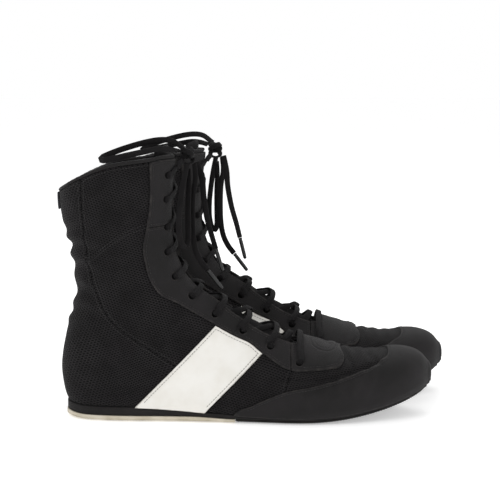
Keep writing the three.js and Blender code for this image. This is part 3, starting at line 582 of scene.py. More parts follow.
def cutSheet(sheet, values, keepAll=False):  # keeps values above 0, and with keepAll only splits along 0
    places, tris = sheet
    values = np.where(np.abs(values) < 1e-6, 1e-6, values)
    above = values > 0
    count = above[tris].sum(1)
    kept = [tris[count == 3]]
    if keepAll:
        kept.append(tris[count == 0])
    newPlaces, edgeIndex = [places], {}
    total = len(places)
    added = []
    for lone, rest in ((1, 2), (2, 1)):
        part = tris[count == lone]
        if not len(part):
            continue
        state = above[part] if lone == 1 else ~above[part]
        first = np.argmax(state, 1)
        order = np.stack([first, (first + 1) % 3, (first + 2) % 3], 1)
        part = np.take_along_axis(part, order, 1)
        ends = []
        for other in (1, 2):
            low = np.minimum(part[:, 0], part[:, other])
            high = np.maximum(part[:, 0], part[:, other])
            ends.append(np.array([edgeIndex.setdefault((i, j), total + len(edgeIndex)) for i,
                                  j in zip(low, high)]))
        tip = np.stack([part[:, 0], ends[0], ends[1]], 1)
        foot = [np.stack([ends[0], part[:, 1], part[:, 2]], 1), np.stack([ends[0], part[:, 2], ends[1]], 1)]
        if lone == 1 or keepAll:
            added.append(tip)
        if lone == 2 or keepAll:
            added.extend(foot)
    if edgeIndex:
        keys = np.array(list(edgeIndex))
        low, high = values[keys[:, 0]], values[keys[:, 1]]
        t = (low / (low - high))[:, None]
        newPlaces.append(places[keys[:, 0]] * (1 - t) + places[keys[:, 1]] * t)
    tris = np.vstack(kept + added)
    places = np.vstack(newPlaces)
    used, inverse = np.unique(tris, return_inverse=True)
    return places[used], inverse.reshape(-1, 3)


def fieldValues(sheet, field):
    rib, angle = sheet[0][:, 0], sheet[0][:, 1]
    return field(rib, angle, surfacePoint(rib, angle))


def cutPiece(look, fields, holes=()):
    sheet = gridSheet(*look["ribs"], *look["angles"], look["spacing"])
    for field in fields:
        sheet = cutSheet(sheet, fieldValues(sheet, field))
    for hole in holes:
        values = fieldValues(sheet, hole)
        if values.min() < 0:
            sheet = cutSheet(sheet, values)
    tools = [*fields, *holes]

    def edge(part):
        rib, angle = part[0][:, 0], part[0][:, 1]
        at = surfacePoint(rib, angle)
        return np.min([tool(rib, angle, at) for tool in tools], 0)
    sheet = cutSheet(sheet, edge(sheet) - look.get("round", 0.5), keepAll=True)
    return sheet, edge(sheet)


# creases and slack of the cloth, in millimetres along the normal, the same for every layer
creases = {
    "anklePleats": 1.35, "pleatPitch": 15, "shaftSlack": 0.9, "vampCrease": 1.9, "quarterSlack": 0.7,
    "seamRise": 0.55, "foldDepth": 1.7,
    "seam": [[68.5, 148], [52.6, 142.5], [37.6, 132], [27.2, 123]],
    "folds": [([[168, 33], [184, 33], [200, 33.5], [221, 38.5], [243, 43.5]], 1.0, 1.5),
              ([[186, 23], [205, 29], [228, 35.5]], 0.8, 1.4),
              ([[212, 56], [219, 49], [223, 42]], 0.6, 1.8), ([[228, 60], [233, 51], [240, 45]], 0.5, 2.0)],
}
waves = seed.uniform(-1, 1, (14, 6))


def slack(at, size):  # slow smooth noise from a few sine waves
    total = 0
    for k, (a, b, c, d, e, f) in enumerate(waves):
        total = total + np.sin((at[..., 0] * a + at[..., 1] * b + at[..., 2] * c) * 6.28 / size + 6 * d + e) * (0.6 + 0.4 * f)
    return total / len(waves) ** 0.5


def seenDistance(at, line):  # seen from the side
    spot, best = at[..., [0, 2]], 1e9
    for a, b in zip(np.array(line, float)[:-1], np.array(line, float)[1:]):
        t = np.clip(np.sum((spot - a) * (b - a), -1) / np.sum((b - a) ** 2), 0, 1)
        best = np.minimum(best, np.linalg.norm(spot - a - t[..., None] * (b - a), axis=-1))
    return best


def relief(at):
    x, y, z = at[..., 0], at[..., 1], at[..., 2]
    fade = 0.55 + 0.45 * slack(at, 38)
    pleat = fade * np.sin(6.283 * z / creases["pleatPitch"] + 2.6 * slack(at, 75) + 0.07 * x)
    ankle = smoothStep(z, 62, 82) * (1 - smoothStep(z, 132, 158)) * (1 - smoothStep(x, 20, 46))
    shaft = smoothStep(z, 70, 110) * (1 - smoothStep(z, 176, 190)) * slack(at, 46)
    quarter = smoothStep(z, 12,
                         30) * (1 - smoothStep(z, 90, 120)) * (1 - smoothStep(x, 170, 200)) * slack(at, 34)
    line = x - 0.35 * z - 0.06 * np.abs(y) + 2.2 * slack(at, 42)
    flex = sum(deep * np.exp(-((line - place) / 3.1) ** 2)
               for place, deep in ((185, 0.5), (196, 0.9), (207, 0.7), (217, 0.5), (226, 0.4)))
    near = 0.35 + 0.65 * smoothStep(-y, 0, 16)
    folds = sum(deep * np.exp(-(seenDistance(at, path) / wide) ** 2) for path, deep,
                wide in creases["folds"])
    seam = np.exp(-(seenDistance(at, creases["seam"]) / 0.9) ** 2)
    fold = flex * smoothStep(z, 14, 30) * (0.75 + 0.25 * np.sin(y * 0.16 + 1))
    toe = smoothStep(x, 222, 244) * slack(at, 40) * 0.3
    return (creases["anklePleats"] * ankle * pleat + creases["shaftSlack"] * shaft * 0.6
            + creases["quarterSlack"] * quarter * 0.5 - creases["vampCrease"] * fold + toe
            + creases["seamRise"] * seam - creases["foldDepth"] * folds * near)


def layered(sheet, edge, outer, inner, look):  # a closed wall between two offsets, softened along its edges
    rib, angle = sheet[0][:, 0], sheet[0][:, 1]
    at, normal, _, _ = surfaceFrame(rib, angle)
    shift = relief(at)
    soft = look.get("round", 0.5)
    drop = soft * 0.8 * (1 - np.sqrt(1 - (1 - np.clip(edge / soft, 0, 1)) ** 2))
    channel = look.get("channel")
    sewn = look.get("sewn", 0.22) * np.exp(-((edge - channel) / 0.8) ** 2) if channel else 0
    press = look.get("press", lambda at: 0)(at)
    top = at + normal * (outer + shift - drop - sewn + press)[:, None]
    bottom = at + normal * (inner + shift)[:, None]
    tris = sheet[1]
    faceNormal = np.cross(top[tris[:, 1]] - top[tris[:, 0]], top[tris[:, 2]] - top[tris[:, 0]])
    if np.sum(faceNormal * normal[tris[:, 0]]) < 0:
        tris = tris[:, ::-1]
    count = len(top)
    edges = np.vstack([tris[:, [0, 1]], tris[:, [1, 2]], tris[:, [2, 0]]])
    keys = np.sort(edges, 1)
    _, first, times = np.unique(keys, axis=0, return_index=True, return_counts=True)
    rim = edges[first[times == 1]]
    walls = np.vstack([np.stack([rim[:, 1], rim[:, 0], rim[:, 0] + count], 1),
                       np.stack([rim[:, 1], rim[:, 0] + count, rim[:, 1] + count], 1)])
    faces = np.vstack([tris, tris[:, ::-1] + count, walls])
    return {"points": np.vstack([top, bottom]), "faces": faces,
            "uv": np.vstack([mapOf(look, rib, angle, at)] * 2),
            "edge": np.concatenate([edge, edge])}


def mapOf(look, rib, angle, at):  # hundredths of a metre, so the weave keeps its size on every piece
    if look.get("map", "side") == "side":
        return np.stack([at[:, 0], at[:, 2]], 1) / 10
    if look["map"] == "wrap":
        return np.stack([38 * np.arctan2(at[:, 1], 58 - at[:, 0]), at[:, 2]], 1) / 10
    if look["map"] == "over":
        return np.stack([at[:, 0], fromTable(arcAround, rib, angle)], 1) / 10
    return np.stack([fromTable(arcAround, rib, angle), fromTable(arcAlong, rib, angle)], 1) / 10


# points and edges where a field has one value, lifted off the surface
def levelLine(sheet, values, level, height):
    places, tris = sheet
    above = values > level
    index, edges = {}, []
    for tri in tris[(above[tris].sum(1) % 3) != 0]:
        ends = []
        for i, j in ((tri[0], tri[1]), (tri[1], tri[2]), (tri[2], tri[0])):
            if above[i] != above[j]:
                ends.append(index.setdefault((min(i, j), max(i, j)), len(index)))
        edges.append(ends)
    if not index:
        return np.zeros((0, 3)), []
    keys = np.array(list(index))
    t = ((level - values[keys[:, 0]]) / (values[keys[:, 1]] - values[keys[:, 0]]))[:, None]
    spots = places[keys[:, 0]] * (1 - t) + places[keys[:, 1]] * t
    at, normal, _, _ = surfaceFrame(spots[:, 0], spots[:, 1])
    return at + normal * (height + relief(at))[:, None], edges


# from local millimetres to finished pieces
sides = ("right", "left")
bootOrigins = {}
for side in sides:
    low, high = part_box(f"{side}_lace_knot")
    bootOrigins[side] = np.array((low + high) / 2) - np.array(boot["knot"]) * mm


def toFrame(points, side):
    points = np.asarray(points, float) * mm
    if side == "left":
        points = points * np.array([1, -1, 1])
    return points + bootOrigins[side]


def pieceName(side, name):
    return side + "".join(word.capitalize() for word in name.split("_"))


def addPiece(name, part, material, body, replaces=(), smooth=40, onSides=sides):
    made = []
    for side in onSides:
        mesh = bpy.data.meshes.new(pieceName(side, name))
        points = toFrame(part["points"], side)
        faces = [tuple(f) for f in part["faces"]]
        if side == "left":
            faces = [tuple(reversed(f)) for f in faces]
        mesh.from_pydata(points.tolist(), [], faces)
        if "uv" in part:
            layer = mesh.uv_layers.new(name="surface")
            corner = np.zeros(len(mesh.loops), np.int32)
            mesh.loops.foreach_get("vertex_index", corner)
            layer.data.foreach_set("uv", part["uv"][corner].astype(np.float32).ravel())
        if "edge" in part:
            share = mesh.attributes.new("edgeShare", "FLOAT", "POINT")
            share.data.foreach_set("value", np.clip(part["edge"] / 10, 0, 1).astype(np.float32))
        mesh.validate()
        mesh.shade_smooth()
        mesh.set_sharp_from_angle(angle=math.radians(smooth))
        mesh.materials.append(material)
        piece = bpy.data.objects.new(pieceName(side, name), mesh)
        scene.collection.objects.link(piece)
        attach(piece, f"{side}_{body}")
        if replaces:
            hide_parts(*(f"{side}_{node}" for node in replaces))
        made.append(piece)
    return made


# seams and outlines of the upper
backLine = smoothOutline([[19.9, 240], [19.9, 200], [19.9, 167.7], [20.6, 153], [22, 135], [24.4, 118],
                          [28, 104],
                          [33.4, 89.4], [41, 77], [50, 68.5], [62, 60], [76, 51], [90, 41], [101, 28],
                          [106, 12],
                          [108, -40]])
vampLine = smoothOutline([[183.4, 240], [183.4, 75], [183, 60], [180, 45], [172, 25], [165, -40]])
stayLine = smoothOutline([[70.5, 240], [70.5, 210], [70.5, 170], [68.3, 149], [65.6, 131], [67.5, 117.6],
                          [70.5, 107], [78, 95.8], [90.6, 89], [111.8, 76.3], [123.1, 69.5], [134, 63.5],
                          [145.6, 58.2], [154.2, 51.5], [165.1, 44], [172.6, 40.2], [176, 39.3]])
seamGap = 0.2


def moved(line, dx, dz=0.0):
    return line + np.array([dx, dz])


backZone = insideOutline(np.vstack([moved(backLine, -seamGap), [[-40, -60], [-40, 260]]]))
quarterZone = insideOutline(np.vstack([moved(backLine, seamGap), moved(vampLine, -seamGap)[::-1]]))
vampZone = insideOutline(np.vstack([moved(vampLine, seamGap), [[340, -60], [340, 260]]]))
stayZone = insideOutline(np.vstack([stayLine, [[176, 130], [150, 260]]]))
tabZone = insideOutline(np.vstack([smoothOutline([[176.4, 39.2], [183.1, 38.7], [205.7, 40.6],
                                                  [213.9, 43.2],
                                                   [216.5, 48.1], [213, 56], [204, 70]]), [[176.4, 95]]]))
randZone = insideOutline(np.vstack([smoothOutline([[118, -30], [132.2, 4.6], [147.1, 13.5], [170.2, 23.6],
                                                   [191.1, 28.4],
                                                    [209.7, 32.9], [223.1, 36.9], [235, 40.3],
                                                    [243.2, 44.1],
                                                    [252.5, 50.4], [258, 80]]), [[340, 80], [340, -30]]]))
bandZone = insideOutline(np.array([[28, -20], [84, -20], [164, 60], [164, 90], [138, 90]], float))
belowStay = outsideOutline(np.vstack([moved(stayLine, -0.5, -0.6), [[200, 39], [200, 260]]]))
tabletZone = insideOutline(np.array([[-30, 159], [10, 159], [10, 240], [-30, 240]], float))

eyeletLook = {"radius": 2.6, "lace": 4.6, "laceThick": 1.5}
eyeletPlaces = [[182.6, 43.8], [160.7, 54.8], [139.6, 66.7], [118.4, 79.6], [100.6, 93.2], [87.5, 108.5],
                [81.6, 127], [81, 146.1], [80.4, 167.3], [82, 185.5]]


def nearestOnSide(x, z):
    rib, angle = 8.0, 0.6
    for step in (1, 0.25, 0.06, 0.015, 0.004):
        ribs = np.clip(rib + np.arange(-12, 13) * step, 0.2, lastRib - 1)
        angles = np.clip(angle + np.arange(-12, 13) * step * 0.12, 0.08, 1.5)
        at = surfacePoint(ribs[:, None], angles[None, :])
        best = np.argmin(np.hypot(at[..., 0] - x, at[..., 2] - z))
        rib, angle = ribs[best // 25], angles[best % 25]
    return rib, angle


eyelets = [nearestOnSide(*place) for place in eyeletPlaces]


def eyeletField(rib, angle):
    at, normal, _, _ = surfaceFrame(rib, angle)

    def field(ribs, angles, points):
        away = points - at
        flat = away - normal * (away @ normal)[:, None]
        return np.linalg.norm(flat, axis=1) - eyeletLook["radius"]
    return field


lateralHoles = [eyeletField(rib, angle) for rib, angle in eyelets]
medialHoles = [eyeletField(rib, -angle) for rib, angle in eyelets]

# base upper: quarters, back panel, vamp
baseLook = {"outer": 0.0, "inner": -2.0}
pieces = {}
quarter = {"ribs": (0, 17.4), "spacing": 1.8, "map": "side", "round": 0.4}
lateral, medial = (0.004, math.pi - 0.004), (-math.pi + 0.004, -0.004)
for name, angles, holes in (("quarter_lateral", lateral, lateralHoles),
                            ("quarter_medial", medial, medialHoles)):
    look = {**quarter, "angles": angles}
    sheet, edge = cutPiece(look, [quarterZone, besideThroat, belowRim, aboveFeather], holes)
    pieces[name] = (look, sheet, edge, *baseLook.values(), "mesh", "mesh_cloth")
look = {"ribs": (0, 15.6), "angles": (1.15, 2 * math.pi - 1.15), "spacing": 1.7, "map": "wrap",
        "round": 0.4}
sheet, edge = cutPiece(look, [backZone, belowRim, aboveFeather])
pieces["back_panel"] = (look, sheet, edge, *baseLook.values(), "mesh", "mesh_cloth")
look = {"ribs": (13, lastRib + toeCap["ribs"]), "angles": (-math.pi, math.pi), "spacing": 1.9,
        "map": "over",
        "round": 0.4}
sheet, edge = cutPiece(look, [vampZone, besideThroat, aboveFeather], [*lateralHoles[:2], *medialHoles[:2]])
pieces["vamp"] = (look, sheet, edge, *baseLook.values(), "mesh", "mesh_cloth")
print("base upper cut")

# overlays
overLook = {"outer": boot["gap"] + boot["overlay"], "inner": boot["gap"]}
stay = {"ribs": (0, 17.2), "spacing": 1.25, "map": "side", "round": 0.7, "channel": 1.9}


def overLap(at):  # the upper facing laps over the lower one
    return at[:, 2] - 146.5 - 0.08 * (at[:, 0] - 68)


def plainRing(at):
    far = np.hypot(at[:, 0] - 201, (at[:, 1] + 9) * 0.85)
    return -0.45 * np.exp(-((far - 9.5) / 0.75) ** 2) - 0.3 * np.exp(-((far - 6.6) / 0.6) ** 2)


for name, angles, holes in (("lateral", (0.01, 1.8), lateralHoles), ("medial", (-1.8, -0.01), medialHoles)):
    look = {**stay, "angles": angles}
    sheet, edge = cutPiece(look,
                           [stayZone, besideThroat, belowRim, lambda rib, angle, at: -overLap(at) - 0.25],
                           holes)
    pieces[f"eyestay_{name}"] = (look, sheet, edge, *overLook.values(), "suede", "suede")
    look = {**stay, "angles": angles, "ribs": (0, 7)}
    sheet, edge = cutPiece(look,
                           [stayZone, besideThroat, belowRim, lambda rib, angle, at: overLap(at) - 0.15],
                           holes)
    pieces[f"facing_{name}"] = (look, sheet, edge, overLook["outer"] + 0.25, overLook["inner"], "suede",
                                "suede")
look = {"ribs": (14, 20), "angles": (-1.7, 1.7), "spacing": 0.95, "map": "round", "round": 0.7,
        "channel": 1.9,
        "press": plainRing}
sheet, edge = cutPiece(look, [tabZone, besideThroat], [*lateralHoles[:2], *medialHoles[:2]])
pieces["vamp_tab"] = (look, sheet, edge, *overLook.values(), "suede", "suede")
look = {"ribs": (12.5, lastRib + toeCap["ribs"]), "angles": (-math.pi, math.pi), "spacing": 1.9,
        "map": "round",
        "round": 0.7, "channel": 1.9}
sheet, edge = cutPiece(look, [randZone, aboveFeather])
pieces["toe_rand"] = (look, sheet, edge, *overLook.values(), "suede", "suede")
for name, angles in (("side_band_lateral", (0.3, math.pi - 0.004)),
                     ("side_band_medial", (-math.pi + 0.004, -0.3))):
    look = {"ribs": (8.5, 17), "angles": angles, "spacing": 1.4, "map": "side", "round": 0.6,
            "channel": 2.0,
            "sewn": 0.3}
    sheet, edge = cutPiece(look, [bandZone, belowStay, aboveFeather])
    pieces[name] = (look, sheet, edge, *overLook.values(), "band", "white_synthetic")
look = {"ribs": (0, 4), "angles": (math.pi - 0.6, math.pi + 0.6), "spacing": 0.9, "map": "round",
        "round": 0.5}
sheet, edge = cutPiece(look, [tabletZone, belowRim, lambda rib, angle, at: 6 - np.abs(at[:, 1])])
pieces["pull_tab"] = (look, sheet, edge, *overLook.values(), "webbing", "webbing")
print("overlays cut")

for name, (look, sheet, edge, outer, inner, material, slot) in pieces.items():
    part = layered(sheet, edge, outer, inner, look)
    replaced = () if name.startswith("facing") else (name,)
    addPiece(name, part, materials[material], "boot", replaces=replaced)
    print(name, len(part["faces"]), "triangles")


# lining sock
liningLook = {"ribs": (0, 21), "angles": (-math.pi, math.pi), "spacing": 3.0, "map": "round", "round": 0.3,
              "outer": -5.2, "inner": -6.7}


def besideTongue(rib, angle, at):
    side, front = 30 - np.abs(at[:, 1]), 200 - at[:, 0]
    return np.where(isAhead(angle), -np.minimum(side, front), 60.0)


sheet, edge = cutPiece(liningLook, [belowRim, besideTongue,
                                    lambda rib, angle, at: at[:, 2] - featherHeight(at[:, 0]) - 6.6])
part = layered(sheet, edge, liningLook["outer"], liningLook["inner"], liningLook)
addPiece("lining", part, materials["lining"], "boot", replaces=("lining",))

# collar binding: a soft roll over the rim
collar = {"columns": 260, "profile": 14, "thick": 1.45, "outer": 0.8, "inner": -6.7, "innerAtTongue": -2.0,
          "lift": 1.75, "pucker": 0.16}


def sweepRings(rings):  # rings of equal count to one closed skin
    count, size = len(rings), len(rings[0])
    faces = []
    for i in range(count - 1):
        for j in range(size):
            k = (j + 1) % size
            faces.append((i * size + j, (i + 1) * size + j, (i + 1) * size + k, i * size + k))
    faces.append(tuple(range(size)))
    faces.append(tuple(reversed(range((count - 1) * size, count * size))))
    return np.vstack(rings), faces


def outward(points, faces):  # turns faces so that the volume is positive
    total = 0.0
    for f in faces:
        a = points[f[0]]
        for j in range(1, len(f) - 1):
            total += np.dot(a, np.cross(points[f[j]], points[f[j + 1]]))
    return faces if total > 0 else [tuple(reversed(f)) for f in faces]


def sweptPart(rings, uv):
    points, faces = sweepRings(rings)
    return {"points": points, "faces": outward(points, faces), "uv": uv, "edge": np.full(len(points), 3.0)}


def halving(low, high, isPast):  # the place between low and high where isPast ends
    for _ in range(30):
        half = (low + high) / 2
        keep = isPast(half)
        low, high = np.where(keep, half, low), np.where(keep, high, half)
    return low


def rimRib(angle):
    return halving(np.zeros_like(angle), np.full_like(angle, 3.0),
                   lambda rib: belowRim(rib, angle, surfacePoint(rib, angle)) < 0)


edgeAngle = np.linspace(0.02, 1.2, 400)
rimAt = surfacePoint(rimRib(edgeAngle), edgeAngle)
firstAngle = edgeAngle[np.argmax(np.abs(rimAt[:, 1]) > boot["shaftGapHalf"] + 0.2)]
angles = np.linspace(firstAngle, 2 * math.pi - firstAngle, collar["columns"])
at, normal, along, _ = surfaceFrame(rimRib(angles), angles)
tongueSide = (1 - smoothStep(np.abs(at[:, 1]), 29, 34)) * (at[:, 0] > 52)
innerReach = collar["inner"] + (collar["innerAtTongue"] - collar["inner"]) * tongueSide
rings = []
for k in range(len(angles)):
    half = (collar["outer"] - innerReach[k]) / 2
    centre = at[k] + normal[k] * (collar["outer"] - half + relief(at[k])) - along[k] * collar["lift"]
    turn = np.linspace(0, 2 * math.pi, collar["profile"], endpoint=False)
    c, s = np.cos(turn), np.sin(turn)
    thick = collar["thick"] * (1 + collar["pucker"] * math.sin(k * 1.35) * 0.5)
    rings.append(centre + normal[k] * (np.sign(c) * np.abs(c) ** 0.75 * half)[:, None]
                 - along[k] * (np.sign(s) * np.abs(s) ** 0.75 * thick)[:, None])
uv = np.stack([np.tile(np.linspace(0, 1.6, collar["profile"]), len(angles)),
               np.repeat(np.linspace(0, 24, len(angles)), collar["profile"])], 1)
addPiece("collar_binding", sweptPart(rings, uv), materials["suede"], "boot", replaces=("collar_binding",),
         smooth=60)
print("lining and collar ready")

# tongue: a padded strip under the laces
tongue = {"from": 0.62, "to": 16, "halfWidth": 26, "depth": 6.2, "thick": 2.2, "rows": 130, "columns": 34,
          "crown": 0.55, "quilt": 0.3, "quiltPitch": 9.0}


def angleAt(rib, halfWidth):
    rib = np.asarray(rib, float)
    centre = surfacePoint(rib, 0 * rib)[..., 1]
    return halving(np.zeros_like(rib), np.full_like(rib, math.pi / 2),
                   lambda half: centre - surfacePoint(rib, half)[..., 1] < halfWidth)


def buildTongue():
    ribs = np.linspace(tongue["from"], tongue["to"], tongue["rows"])
    limit = angleAt(ribs, tongue["halfWidth"])
    share = np.linspace(-1, 1, tongue["columns"])
    rib, across = np.meshgrid(ribs, share, indexing="ij")
    angle = limit[:, None] * across
    at, normal, _, _ = surfaceFrame(rib, angle)
    rise = smoothStep(at[..., 0], boot["throatFront"] + 3, boot["throatFront"] + 8)
    outer = -(tongue["depth"] * (1 - rise) + (boot["upper"] + 1.1) * rise)
    ends = np.clip(1 - np.abs(across), 0, 1)
    row = np.clip(np.minimum(rib - ribs[0], ribs[-1] - rib) / 0.25, 0, 1)
    soft = np.sqrt(np.clip(1 - (1 - np.clip(ends / 0.08, 0, 1)) ** 2, 0, 1)) * np.sqrt(1 - (1 - row) ** 2)
    run = fromTable(arcAlong, rib, angle)
    quilt = tongue["quilt"] * np.abs(np.sin(run * math.pi / tongue["quiltPitch"])) ** 0.5
    crown = (tongue["crown"] * (1 - across ** 2) + quilt) * (1 - rise)
    shift = 0.4 * relief(at)
    middle = outer - tongue["thick"] / 2
    top = at + normal * (middle + (tongue["thick"] / 2) * soft + crown * soft + shift)[..., None]
    bottom = at + normal * (middle - (tongue["thick"] / 2) * soft + shift)[..., None]
    uvTop = np.stack([fromTable(arcAround, rib, angle), run], -1) / 10
    rings, uv = ([np.vstack([over[i], under[i][::-1]]) for i in range(len(ribs))]
                 for over, under in ((top, bottom), (uvTop, uvTop)))
    return addPiece("tongue", sweptPart(rings, np.vstack(uv)), materials["tongue"], "tongue",
                    replaces=("tongue",), smooth=50)


for piece in buildTongue():
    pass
print("tongue ready")

# laces: one flat strip through the eyelets, a bow knot, two loops, two tails
laceOver = boot["gap"] + boot["overlay"] + boot["gap"] + 0.85 + 0.35
laceUnder = -(boot["upper"] + 1.2 + 0.85)
lowCross = -1.4


def throughEyelet(eyelet, side, upwards):
    rib, angle = eyelet
    perRadian = surfaceFrame(rib, side * angle)[3]
    steps = [(3, laceUnder), (0.5, laceUnder + 0.4), (0.5, laceOver - 0.4), (3, laceOver)]
    way = [(rib, side * (angle - inward / perRadian), height) for inward, height in steps]
    return way if upwards else way[::-1]


def ribAtX(x, angle):
    low, high = 6.0, float(lastRib)
    for _ in range(30):
        half = (low + high) / 2
        low, high = (half, high) if surfacePoint(half, angle)[0] < x else (low, half)
    return low


def strand(side, crossHeight):
    way = throughEyelet(eyelets[0], side, False)
    for k in range(len(eyelets) - 1):
        here = side * (-1 if k % 2 else 1)
        start = eyelets[k][0] if k else ribAtX(eyeletPlaces[0][0] - 4, 0)
        end = eyelets[k + 1][0]

        def place(share, part, height):
            rib = start + (end - start) * share
            edge = float(angleAt(rib, throatHalf(surfacePoint(rib, 0)[0])))
            return rib, here * part * edge, height
        first = laceOver if k else laceUnder
        if k < 4:
            way.append(place(0.1, 1.3, first))
        way += [place(0.2, 0.85, first), place(0.36, 0.4, (first + crossHeight) / 2),
                place(0.5, 0, crossHeight),
                place(0.64, -0.4, (laceUnder + crossHeight) / 2), place(0.8, -0.85, laceUnder)]
        if k < 4:
            way.append(place(0.9, -1.3, laceUnder))
        way += throughEyelet(eyelets[k + 1], -here, True)
    return way


def ribbon(path, across, width, thick, corners=10):
    path, across = np.asarray(path, float), np.asarray(across, float)
    tangent = np.gradient(path, axis=0)
    tangent /= np.linalg.norm(tangent, axis=1, keepdims=True)
    wide = across - tangent * np.sum(across * tangent, 1, keepdims=True)
    wide /= np.linalg.norm(wide, axis=1, keepdims=True)
    up = np.cross(wide, tangent)
    turn = np.linspace(0, 2 * math.pi, corners, endpoint=False) + math.pi / corners
    c = np.sign(np.cos(turn)) * np.abs(np.cos(turn)) ** 0.6 * width / 2
    s = np.sign(np.sin(turn)) * np.abs(np.sin(turn)) ** 0.8 * thick / 2
    rings = [path[i] + wide[i] * c[:, None] + up[i] * s[:, None] for i in range(len(path))]
    run = np.concatenate([[0], np.cumsum(np.linalg.norm(np.diff(path, axis=0), axis=1))])
    return sweptPart(rings, np.stack([np.tile(c, len(path)), np.repeat(run, corners)], 1) / 10)


def smoothPath(points, spacing, extra=None):
    points = np.asarray(points, float)
    lengths = np.linalg.norm(np.diff(points, axis=0), axis=1)
    share = np.concatenate([np.linspace(k, k + 1, max(2, round(size / spacing)), endpoint=False)
                            for k, size in enumerate(lengths)] + [[len(points) - 1]]) / (len(points) - 1)
    if extra is None:
        return alongCurve(points, share)
    return alongCurve(points, share), alongCurve(np.asarray(extra, float), share)


knotLook = {"reach": (4.2, 6.5, 5.6), "width": 4.2, "thick": 1.7, "spots": 150}
knotCentre = np.array(boot["knot"], float)


def buildLace():
    low = eyelets[0][1]
    bar = [(ribAtX(eyeletPlaces[0][0], share * low), share * low, laceOver + 0.3) for share in (0.7, 0.4, 0,
                                                                                                -0.4, -0.7)]
    places = strand(1, lowCross)[::-1] + bar + strand(-1, lowCross + 1.7 + 0.4)
    spots, across = [], []
    for rib, angle, height in places:
        at, normal, along, _ = surfaceFrame(rib, angle)
        spots.append(at + normal * height)
        across.append(along)
    sign = np.sign(spots[0][1])
    toKnot = [knotCentre + np.array([-3.2, s * 7.4, -4]) for s in (sign, -sign)]
    spots = [toKnot[0], *spots, toKnot[1]]
    across = [np.array([0, 0, 1.0]), *across, np.array([0, 0, 1.0])]
    path, wide = smoothPath(spots, 1.6, across)
    return ribbon(path, wide, eyeletLook["lace"], eyeletLook["laceThick"])


def buildKnot():
    t = np.linspace(0, 2 * math.pi, knotLook["spots"], endpoint=False) + 0.5
    a, b, c = knotLook["reach"]
    path = np.stack([-np.sin(3 * t) * a, (np.sin(t) + 2 * np.sin(2 * t)) / 3 * b * 1.25,
                     (np.cos(t) - 2 * np.cos(2 * t)) / 3 * c * 1.15], 1)
    path = np.vstack([path, path[:1]])
    inward = -path / np.linalg.norm(path, axis=1, keepdims=True)
    tangent = np.gradient(path, axis=0)
    return ribbon(path + knotCentre, np.cross(inward, tangent), knotLook["width"], knotLook["thick"])


addPiece("lace", buildLace(), materials["lace"], "boot", replaces=("lace",), smooth=60)
addPiece("lace_knot", buildKnot(), materials["lace"], "boot", replaces=("lace_knot",),
         smooth=60)

cords = {
    "width": 4.6, "thick": 1.5, "spacing": 2.5,
    "lace_loop_back": [[94.9, -7.4, 205], [87, -14, 210.5], [78, -17, 211.5], [66, -20, 209.5],
                       [52, -24, 205.5],
                       [41, -28, 201.5], [35, -33, 198.5], [37, -37.5, 197], [46, -37.5, 198.8],
                       [56, -34, 201],
                       [66, -30, 203], [77, -25, 205], [85, -19.5, 204.5], [91, -13, 203]],
    "lace_loop_front": [[97.9, -7.8, 192.7], [95.5, -15, 181], [93.5, -19, 168], [92, -21.5, 154],
                        [92, -22, 142],
                        [94, -20.5, 133], [97, -17, 131], [98.5, -13.5, 136], [98.5, -12, 148],
                        [98.5, -11, 163],
                        [99, -8, 178], [98.5, -5, 189]],
    "lace_tail_lateral": [[103.1, -4, 193.1], [104, -5, 182], [102, -6, 168], [101.5, -6.5, 152],
                          [102, -7, 138],
                          [104, -7, 127], [108, -6.5, 118.5], [113, -6, 112]],
    "lace_tail_medial": {
        "right": [[104.4, 2, 194.2], [108.5, 4, 182], [110, 5, 166], [112.5, 6, 150], [116, 6.5, 137],
                  [119, 7, 127]],
        "left": [[104.4, 2, 194.2], [107, 5, 182], [108, 8, 169], [111, 10, 153], [115, 11, 139],
                 [118, 11, 127]],
    },
}


def cordFacing(path, sweep):  # the flat lace turns slowly as it runs
    tangent = np.gradient(path, axis=0)
    tangent /= np.linalg.norm(tangent, axis=1, keepdims=True)
    level = np.cross(tangent, np.array([0.25, 1, 0.1]))
    level /= np.linalg.norm(level, axis=1, keepdims=True)
    other = np.cross(tangent, level)
    turn = np.linspace(sweep[0], sweep[1], len(path))[:, None]
    return level * np.cos(turn) + other * np.sin(turn)


def tipPart(points):  # a crimped sleeve at the end of a tail
    end, before = points[-1], points[-2]
    axis = (end - before) / np.linalg.norm(end - before)
    side = np.cross(axis, [0, 1, 0])
    side /= np.linalg.norm(side)
    up = np.cross(axis, side)
    profile = [(0, 1.25), (0.15, 1.55), (1.2, 1.6), (1.8, 1.42), (2.6, 1.42), (3.2, 1.58), (12, 1.55),
               (15, 1.5),
               (17.2, 1.38), (17.8, 1.0), (18, 0.5)]
    turn = np.linspace(0, 2 * math.pi, 16, endpoint=False)
    rings = [end + axis * (0.3 + run) + (np.cos(turn)[:, None] * side + np.sin(turn)[:, None] * up) * radius
             for run, radius in profile]
    rings, faces = sweepRings(rings)
    return {"points": rings, "faces": outward(rings, faces)}


def cordPiece(side, name, route, sweep, tip=None):
    path = smoothPath(route, cords["spacing"])
    part = ribbon(path, cordFacing(path, sweep), cords["width"], cords["thick"])
    piece = addPiece(name, part, materials["lace"], "boot", (name,), 60, (side,))[0]
    others = []
    if tip:
        sleeve = tipPart(np.asarray(route, float))
        others = addPiece(tip, sleeve, materials["tip"], "boot", (tip,), 30, (side,))


